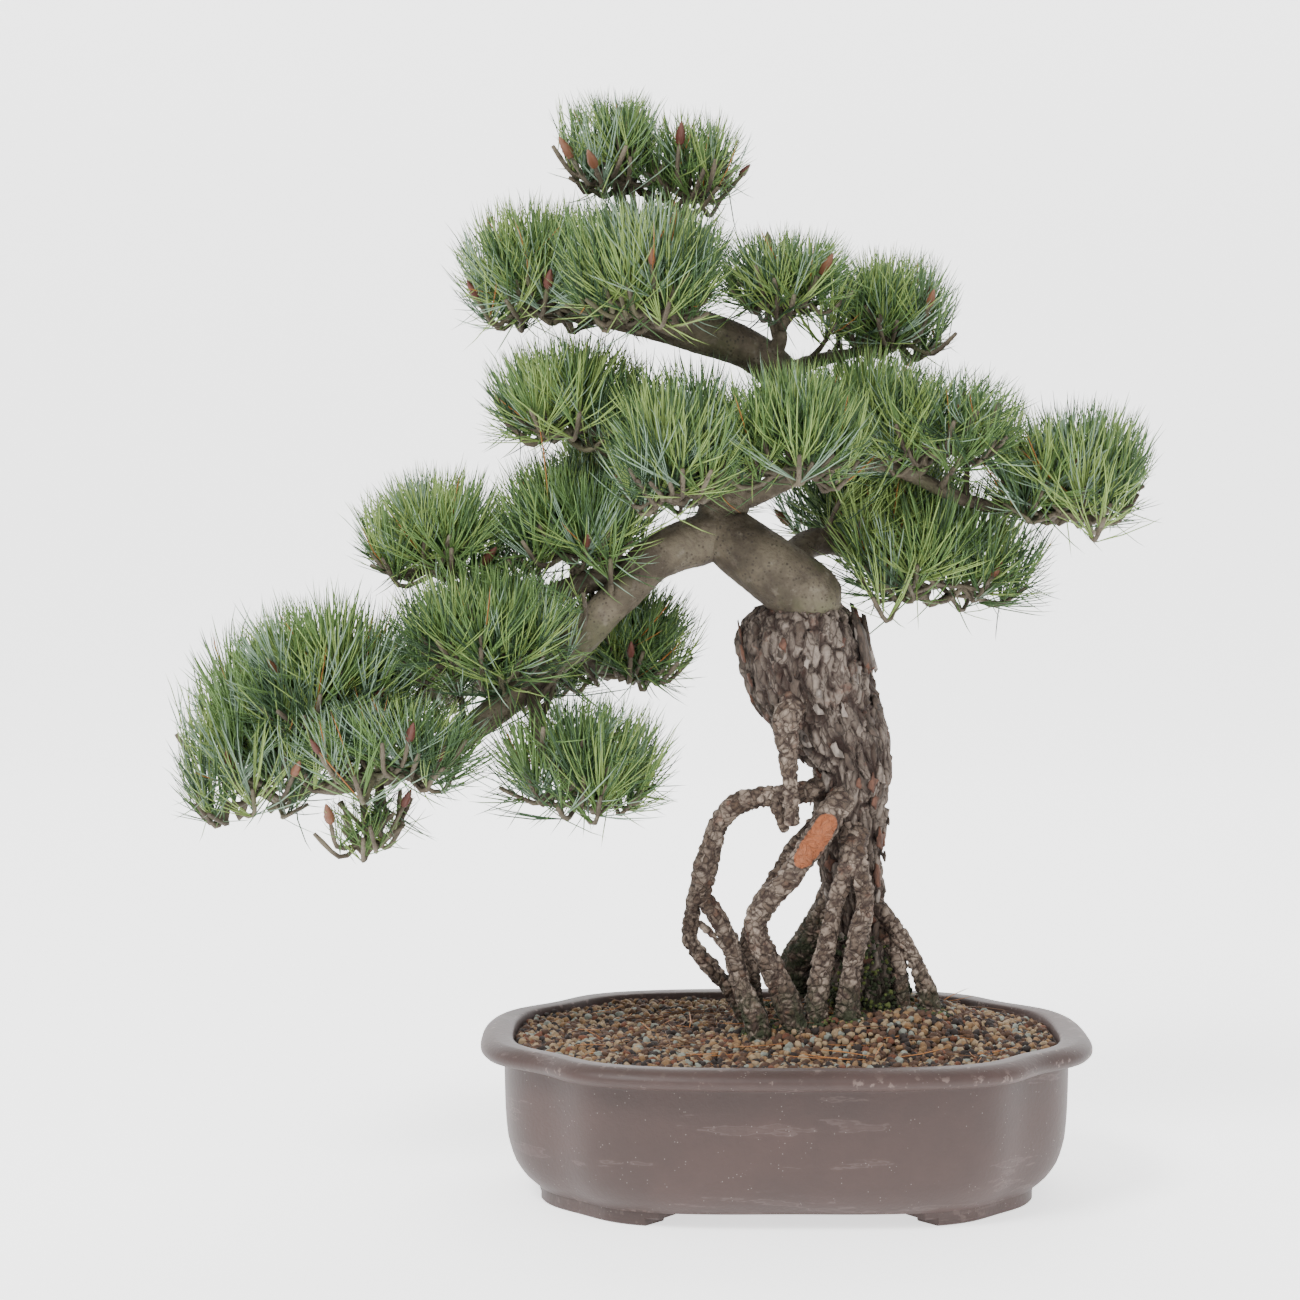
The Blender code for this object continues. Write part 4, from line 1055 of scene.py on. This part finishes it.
def fill_limbs(twigs, shoots):
    """Shoots straight off the boughs, between one mass and the next."""
    rng = random.Random(SEED)
    turn = 0.0
    for route, bare in [(route, 0.3) for route in BOUGHS.values()] + [(TOP, 0.78)]:
        table = dense_route(route, FILL_GAP)
        tangents = unit(np.gradient(table[:, :3], axis=0))
        for number in range(round(bare * len(table)), len(table)):
            turn += GOLDEN_TURN
            at = Vector(table[number, :3])
            tangent = Vector(tangents[number])
            side = Vector((0, 0, 1)).cross(tangent).normalized()
            swing = 1.2 * math.sin(turn) + rng.uniform(-0.2, 0.2)
            out = (math.cos(swing) * Vector((0, 0, 1)) + math.sin(swing) * side).normalized()
            foot = at + out * (table[number, 3] + rng.uniform(8, 22)) + tangent * rng.uniform(0, 8)
            way = (out + 0.3 * tangent + Vector((0, 0, 0.5))).normalized()
            near = min(MASSES, key=lambda name: (Vector(MASSES[name][2]) - foot).length)
            places = (at, at.lerp(foot, 0.6), foot)
            # Below zero, a shoot's needles get the dark tones of painted shade
            age_and_shade = rng.uniform(-0.6, 0.7)
            add_shoot(twigs, shoots, places, FILL_RADII, way, 18, near, age_and_shade)


def shoot_needles(foot, way, mass, age_and_shade, rng, low_wall, high_wall):
    """Feet, headings, bend sides, lengths and tones of the needles of one shoot."""
    side = np.array(Vector(way).orthogonal().normalized())
    up = np.cross(way, side)
    number = np.arange(FASCICLES)
    share = (number + 0.5) / FASCICLES
    angle = rng.uniform(0, 2 * math.pi) + number * GOLDEN_TURN
    # The lowest needles lean out the most
    lean = np.radians(66 - 52 * share + rng.normal(0, 7, FASCICLES))
    out = np.cos(angle)[:, None] * side + np.sin(angle)[:, None] * up
    feet = foot + way * (-2 + 22 * share)[:, None] + out * 1.2
    heads = np.cos(lean)[:, None] * way + np.sin(lean)[:, None] * out
    feet = np.repeat(feet, NEEDLES_IN_FASCICLE, axis=0)
    heads = np.repeat(heads, NEEDLES_IN_FASCICLE, axis=0)
    heads = unit(heads + rng.normal(0, 0.13, heads.shape))
    stray = rng.random(len(heads)) < STRAY_SHARE
    heads[stray] = unit(heads[stray] + np.array((0, 0, -1.3)))
    lengths = NEEDLE_LENGTH * rng.uniform(0.86, 1.04, len(heads))
    bends = unit(way * 0.7 + np.array((0, 0, 0.5)) + rng.normal(0, 0.3, heads.shape))
    fits = np.zeros(len(heads), bool)
    limit = rng.uniform(*ROOM, len(heads))
    for trim in NEEDLE_TRIMS:
        long = (lengths * trim)[:, None]
        tips = feet + heads * long + bends * (NEEDLE_BEND * lengths * trim)[:, None]
        inside = space_share(MASSES[mass][2:4], tips) < limit
        inside &= (tips > low_wall).all(1) & (tips < high_wall).all(1)
        now = inside & ~fits
        lengths[now] *= trim
        fits |= now
    # A value below zero picks a dark tone, painted shade on the skirts and among the boughs
    main = next(tone for ceiling, tone in TONE_BY_AGE_AND_SHADE if age_and_shade < ceiling)
    mostly = rng.random(FASCICLES) < 0.7
    tones = np.where(mostly, main, rng.integers(0, DRY_TONE, FASCICLES))
    tones = np.repeat(tones, NEEDLES_IN_FASCICLE)
    tones[rng.random(len(tones)) < DRY_SHARE] = DRY_TONE
    return feet[fits], heads[fits], bends[fits], lengths[fits], tones[fits]


NEEDLE_TONES = (
    ("needle_deep", tint(74, 104, 60)),
    ("needle_mid", tint(108, 140, 78)),
    ("needle_young", tint(150, 176, 98)),
    ("needle_blue", tint(146, 172, 148)),
    ("needle_shade", tint(58, 84, 54)),
    ("needle_dry", tint(176, 112, 52)),
)
DRY_TONE = 5
# The main tone of a shoot by its age value. Below zero, on the skirts and some shoots along the
# boughs, it gives the dark shade and deep tones: painted shade under and inside the masses
TONE_BY_AGE_AND_SHADE = ((-0.45, 4), (0.0, 0), (0.4, 1), (0.74, 2), (0.88, 0), (2.0, 3))
REGIONS = {
    "needles_top": ("apex_left", "apex_right", "top_inner", "top_outer"),
    "needles_crown": ("crown_left", "crown_front", "crown_back"),
    "needles_middle": ("mid_left", "mid_front", "mid_back"),
    "needles_inner": ("mid_center", "mid_right"),
    "needles_right": ("right", "far_right"),
    "needles_right_low": ("right_low", "right_back"),
    "needles_shelf": ("shelf_inner", "shelf_tip", "left_upper"),
    "needles_hanging": ("left_back", "inner_low", "hanging"),
    "needles_far_left": ("left_far_upper", "left_tip", "droop"),
    "needles_far_back": ("left_far_back", "left_low"),
}


def make_needles(shoots, rng, low_wall, high_wall):
    """A piece of needles for each region. Returns (object, replaced nodes, slot) rows."""
    materials = []
    for name, color in NEEDLE_TONES:
        leaf = Shader(name, 0.5, color)
        leaf.set("Specular IOR Level", 0.35)
        materials.append(leaf.material)
    shapes = [needle_shape(f"needle_{k}", bend) for k, bend in enumerate((0.08, 0.17, 0.27))]
    rows = []
    for region, masses in REGIONS.items():
        names = ["foliage_" + mass for mass in masses]
        near = [shoot for shoot in shoots if shoot[2] in names]
        grown = [shoot_needles(*shoot, rng, low_wall, high_wall) for shoot in near]
        feet, heads, bends, lengths, tones = (np.concatenate(column) for column in zip(*grown))
        turns = euler_rows(bends, heads)
        picks = rng.integers(0, len(shapes), len(feet))
        made = scatter(region, feet, turns, lengths, picks, tones, shapes, materials)
        rows.append((made, names, "needles"))
    forget(shapes)
    return rows


def make_buds(shoots, rng, high_wall):
    """Winter buds at the ends of the oldest shoots."""
    feet = []
    ways = []
    for foot, way, _, age_and_shade in shoots:
        if age_and_shade > BUD_AGE and (foot + way * BUD_ROOM < high_wall).all():
            feet.append(foot + way * BUD_START)
            ways.append(way)
    ways = np.array(ways)
    lengths = rng.uniform(*BUD_LENGTHS, len(feet))
    tones = (rng.random(len(feet)) < 0.35).astype(int)
    turns = euler_rows(rng.normal(0, 1, ways.shape), ways)
    browns = plain_materials(
        ("bud_red", 0.6, tint(92, 46, 34)),
        ("bud_pale", 0.6, tint(124, 80, 56)),
    )
    shape = bud_shape("bud")
    made = scatter("buds", feet, turns, lengths, 0, tones, [shape], browns)
    forget([shape])
    return made


def make_twigs(twigs):
    build = Build()
    for route in twigs:
        table = dense_route(route, 7.0)
        centres = table[:, :3]
        _, out = spokes(centres, TWIG_SIDES)
        swell = 1 + 0.12 * np.sin(np.arange(len(table)) * 2.4)
        places = (centres[:, None] + out * (table[:, 3] * swell)[:, None, None]).reshape(-1, 3)
        places = np.vstack((places, centres[0], centres[-1]))
        build.add(places, grid_faces(len(table), TWIG_SIDES), crack=1.0)
    return build.piece("twigs", smooth_bark_material("young_bark"))


def make_foliage():
    """Needles, buds and twigs of every mass. Returns (object, replaced nodes, slot) rows."""
    twigs = []
    shoots = []
    for number, name in enumerate(MASSES):
        grow_mass(name, number + 1, twigs, shoots)
    fill_limbs(twigs, shoots)
    rng = np.random.default_rng(SEED)
    low_wall = (np.array(cad_low) - SHIFT) / MM - BOX_SLACK
    high_wall = (np.array(cad_high) - SHIFT) / MM + BOX_SLACK
    rows = make_needles(shoots, rng, low_wall, high_wall)
    rows.append((make_buds(shoots, rng, high_wall), [], "smooth_bark"))
    rows.append((make_twigs(twigs), [], "smooth_bark"))
    return rows


# Loose ground

# Name, colour and share of the grains
GRIT_TONES = (
    ("grit_tan", tint(168, 144, 112), 0.20),
    ("grit_ochre", tint(150, 116, 80), 0.16),
    ("grit_brown", tint(92, 66, 50), 0.33),
    ("grit_dark", tint(50, 40, 36), 0.17),
    ("grit_grey", tint(150, 154, 142), 0.08),
    ("grit_rust", tint(118, 72, 50), 0.06),
)


def grain_places(rng):
    """Places in uneven rows all over the soil."""
    places = []
    jitter = (-GRAIN_JITTER, GRAIN_JITTER)
    for row in range(-45, 46):
        for column in range(-60, 61):
            x = (column + 0.5 * (row % 2)) * GRAIN_GAP + rng.uniform(*jitter)
            y = row * GRAIN_GAP * 0.87 + rng.uniform(*jitter)
            edge = outline_point(math.atan2(y, x), GRAIN_INSET)
            if math.hypot(x, y) < math.hypot(*edge):
                places.append((x, y, ground_height(x, y) + rng.uniform(-1.4, 0.9)))
    return np.array(places)


def make_grit(places, shapes, rng):
    """Three pieces of grit, from the back of the pot to the front."""
    grain, bump = (380.0, 3.0, 0.3, 0.75), (900.0, 2.0, 0.0004, 0.6)
    materials = [
        mottled(name, 0.92, darker(color, 0.55), color, grain, bump)
        for name, color, _ in GRIT_TONES
    ]
    count = len(places)
    tones = rng.choice(len(GRIT_TONES), count, p=[share for _, _, share in GRIT_TONES])
    turns = rng.uniform(-math.pi, math.pi, (count, 3))
    radius = rng.uniform(*GRAIN_RADII, count)
    sizes = radius[:, None] * rng.uniform(0.75, 1.1, (count, 3))
    third = count // 3
    made = []
    for name, part in (
        ("grit_back", slice(2 * third, count)),
        ("grit_middle", slice(third, 2 * third)),
        ("grit_front", slice(0, third)),
    ):
        picks = rng.integers(0, GRAIN_KINDS, len(places[part]))
        dealt = (places[part], turns[part], sizes[part], picks, tones[part])
        made.append(scatter(name, *dealt, shapes, materials))
    return made


def make_moss(shapes, rng):
    """Moss in patches on the grit and up the foot of the stock."""
    places = []
    for x, y, reach in MOSS_SPOTS:
        for _ in range(reach * MOSS_PER_REACH):
            away = reach * math.sqrt(rng.random())
            angle = rng.uniform(0, 2 * math.pi)
            px, py = x + away * math.cos(angle), y + away * math.sin(angle)
            places.append((px, py, ground_height(px, py) + rng.uniform(0.2, 1.8)))
    for _ in range(MOSS_ON_STOCK):
        height = MOSS_CLIMB * rng.random() ** 1.5
        angle = rng.uniform(0, 2 * math.pi)
        away = 30 - 0.24 * height + rng.uniform(-1.5, 1.5)
        px, py = FOOT_X + away * math.cos(angle), FOOT_Y + away * math.sin(angle)
        places.append((px, py, GROUND + height))
    count = len(places)
    sizes = rng.uniform(0.7, 1.5, count)[:, None] * rng.uniform(0.8, 1.3, (count, 3))
    turns = rng.uniform(-math.pi, math.pi, (count, 3))
    tones = (rng.random(count) < 0.3).astype(int)
    picks = rng.integers(0, GRAIN_KINDS, count)
    greens = plain_materials(
        ("moss_dark", 0.95, tint(46, 56, 30)),
        ("moss_light", 0.95, tint(86, 96, 46)),
    )
    return scatter("moss", places, turns, sizes, picks, tones, shapes, greens)


def make_dry_needles(grains, rng):
    """Fallen needles that lie on the grit."""
    chosen = grains[rng.choice(len(grains), FALLEN_NEEDLES, replace=False)]
    fallen = chosen + np.array((0, 0, 2.6))
    fallen = fallen[(np.abs(fallen[:, :2]) < FALLEN_REACH).all(1)]
    flat = rng.normal(0, 1, fallen.shape) * np.array((1, 1, 0.05))
    turns = euler_rows(rng.normal(0, 1, fallen.shape), flat)
    lengths = rng.uniform(20, 42, len(fallen))
    tones = (rng.random(len(fallen)) < 0.4).astype(int)
    browns = plain_materials(
        ("dry_orange", 0.7, tint(178, 116, 58)),
        ("dry_brown", 0.8, tint(110, 76, 48)),
    )
    needle = needle_shape("fallen_needle", 0.12)
    made = scatter("dry_needles", fallen, turns, lengths, 0, tones, [needle], browns)
    forget([needle])
    return made


def make_ground():
    """Grit, moss and dry needles. Returns (object, replaced nodes, slot) rows."""
    rng = np.random.default_rng(SEED + 1)
    places = grain_places(rng)
    shapes = [grain_shape(k + 1) for k in range(GRAIN_KINDS)]
    made = make_grit(places, shapes, rng)
    made.append(make_moss(shapes, rng))
    made.append(make_dry_needles(places, rng))
    forget(shapes)
    return [(piece, [], "soil") for piece in made]


# Wood


def make_wood():
    """Trunk, roots and boughs with their bark. Returns (object, replaced nodes, slot) rows."""
    old = bark_material("old_bark", (104, 66, 50), (76, 62, 52), (156, 142, 130), 0.4, 0.85)
    root = bark_material("root_scales", (116, 76, 58), (84, 66, 52), (176, 158, 142), 1.0, 0.8)
    young = smooth_bark_material("bough_bark")
    stock = Build()
    add_limb(stock, STOCK, 132, 1.6, Relief(8.0, 30.0, 3.0, 3.6, 0.16, 3), DAMP)
    top = Build()
    add_limb(top, TOP, 64, 2.0, Relief(9.0, 10.0, 0.25, 0.3, 0.07, 5))
    roots = Build()
    for number, (name, branches) in enumerate(ROOTS.items()):
        for branch in branches:
            relief = Relief(11.0, 5.4, 1.0, 1.1, 0.18, number + 7)
            moss = MOSSY if name == "root_mossy" else DAMP
            add_limb(roots, branch, 40, 1.3, relief, moss)
    boughs = Build()
    for number, route in enumerate(BOUGHS.values()):
        add_limb(boughs, route, 28, 2.2, Relief(6.0, 7.0, 0.3, 0.35, 0.10, number + 31))
    return [
        (stock.piece("stock_bark", old), ["trunk"], "bark"),
        (top.piece("top_bark", young), [], "smooth_bark"),
        (roots.piece("root_bark", root), list(ROOTS), "root_bark"),
        (boughs.piece("bough_bark", young), list(BOUGHS), "smooth_bark"),
    ]


def random_columns(rng, count, *ranges):
    return np.stack([rng.uniform(low, high, count) for low, high in ranges], 1)


def make_flakes():
    """Loose plates that lift off the old stock, and the slabs on its right shoulder."""
    rng = np.random.default_rng(SEED + 2)
    route = dense_route(STOCK, 1.6)
    tangents, across, up = frames_along(route[:, :3])
    rows = rng.integers(12, len(route) - 8, FLAKES)
    turn = rng.uniform(0, 2 * math.pi, FLAKES)
    sizes = random_columns(rng, FLAKES, (3, 9), (4, 9), (4, 6))
    tilt = rng.uniform(-0.32, 0.32, FLAKES)
    shoulder = np.argsort(np.abs(route[:, 2] - SHOULDER_HEIGHT))[:10]
    rows[:SLABS] = rng.choice(shoulder, SLABS)
    sizes[:SLABS] = random_columns(rng, SLABS, (13, 21), (9, 13), (9, 12))
    right = np.arctan2(up[rows[:SLABS], 0], across[rows[:SLABS], 0])
    turn[:SLABS] = right + rng.uniform(-0.5, 0.5, SLABS)
    tilt[:SLABS] = rng.uniform(-0.15, 0.1, SLABS)
    out = np.cos(turn)[:, None] * across[rows] + np.sin(turn)[:, None] * up[rows]
    places = route[rows, :3] + out * (route[rows, 3:4] + rng.uniform(-0.8, 0.9, (FLAKES, 1)))
    normal = unit(out + tilt[:, None] * tangents[rows])
    turns = euler_rows(tangents[rows] + rng.normal(0, 0.15, out.shape), normal)
    tones = rng.choice(len(PLATE_TONES), FLAKES, p=(0.55, 0.25, 0.2))
    picks = rng.integers(0, FLAKE_KINDS, FLAKES)
    grain, bump = (300.0, 6.0, 0.38, 0.62), (500.0, 4.0, 0.0006, 0.8)
    materials = [
        mottled(f"bark_plate_{number}", 0.9, darker(color, 0.4), color, grain, bump, 0.35)
        for number, color in enumerate(PLATE_TONES)
    ]
    shapes = [flake_shape(k + 1) for k in range(FLAKE_KINDS)]
    made = scatter("bark_plates", places, turns, sizes, picks, tones, shapes, materials)
    forget(shapes)
    return [(made, [], "bark")]


PLATE_TONES = (tint(88, 74, 64), tint(112, 76, 60), tint(156, 144, 134))


# Stage


def make_stage():
    """A pale floor that curves up into a backdrop, soft lights and the photograph's camera."""
    start, radius = FLOOR_CURVE
    profile = [(-FLOOR_HALF, 0.0), (start, 0.0)]
    for turn in np.linspace(0.1, math.pi / 2, 14):
        profile.append((start + radius * math.sin(turn), radius - radius * math.cos(turn)))
    profile.append(BACKDROP_TOP)
    places = [(x, y, z) for y, z in profile for x in (-FLOOR_HALF, FLOOR_HALF)]
    faces = [(2 * k, 2 * k + 1, 2 * k + 3, 2 * k + 2) for k in range(len(profile) - 1)]
    pale = Shader("pale_floor", 0.9, (0.95, 0.95, 0.95, 1.0))
    pale.set("Emission Color", (1.0, 1.0, 1.0, 1.0))
    pale.set("Emission Strength", 1.5)
    mesh_object("floor", places, faces, [pale.material])
    world = bpy.data.worlds.new("soft_sky")
    world.use_nodes = True
    sky = world.node_tree.nodes["Background"].inputs
    sky["Color"].default_value = (1.0, 1.0, 1.0, 1.0)
    sky["Strength"].default_value = 0.9
    bpy.context.scene.world = world
    for name, where, size, power in LIGHTS:
        light = bpy.data.lights.new(name, "AREA")
        light.size = size
        light.energy = power
        lamp = link(name, light)
        lamp.location = where
        aim = Vector(LIT_POINT) - Vector(where)
        lamp.rotation_euler = aim.to_track_quat("-Z", "Y").to_euler()
    lens = bpy.data.cameras.new("camera")
    lens.lens = LENS_MM
    lens.sensor_width = SENSOR_MM
    camera = link("camera", lens)
    camera.location = SHIFT + CAMERA_PLACE
    camera.rotation_euler = (math.radians(90 - CAMERA_TILT), 0.0, 0.0)
    bpy.context.scene.camera = camera


rows = [(make_pot(), ["pot"], "clay"), (make_soil(), ["soil"], "soil")]
rows += make_wood()
rows += make_flakes()
rows += make_ground()
rows += make_foliage()
for made, replaced, slot in rows:
    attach(made, "root")
    if replaced:
        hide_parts(*replaced)
make_stage()
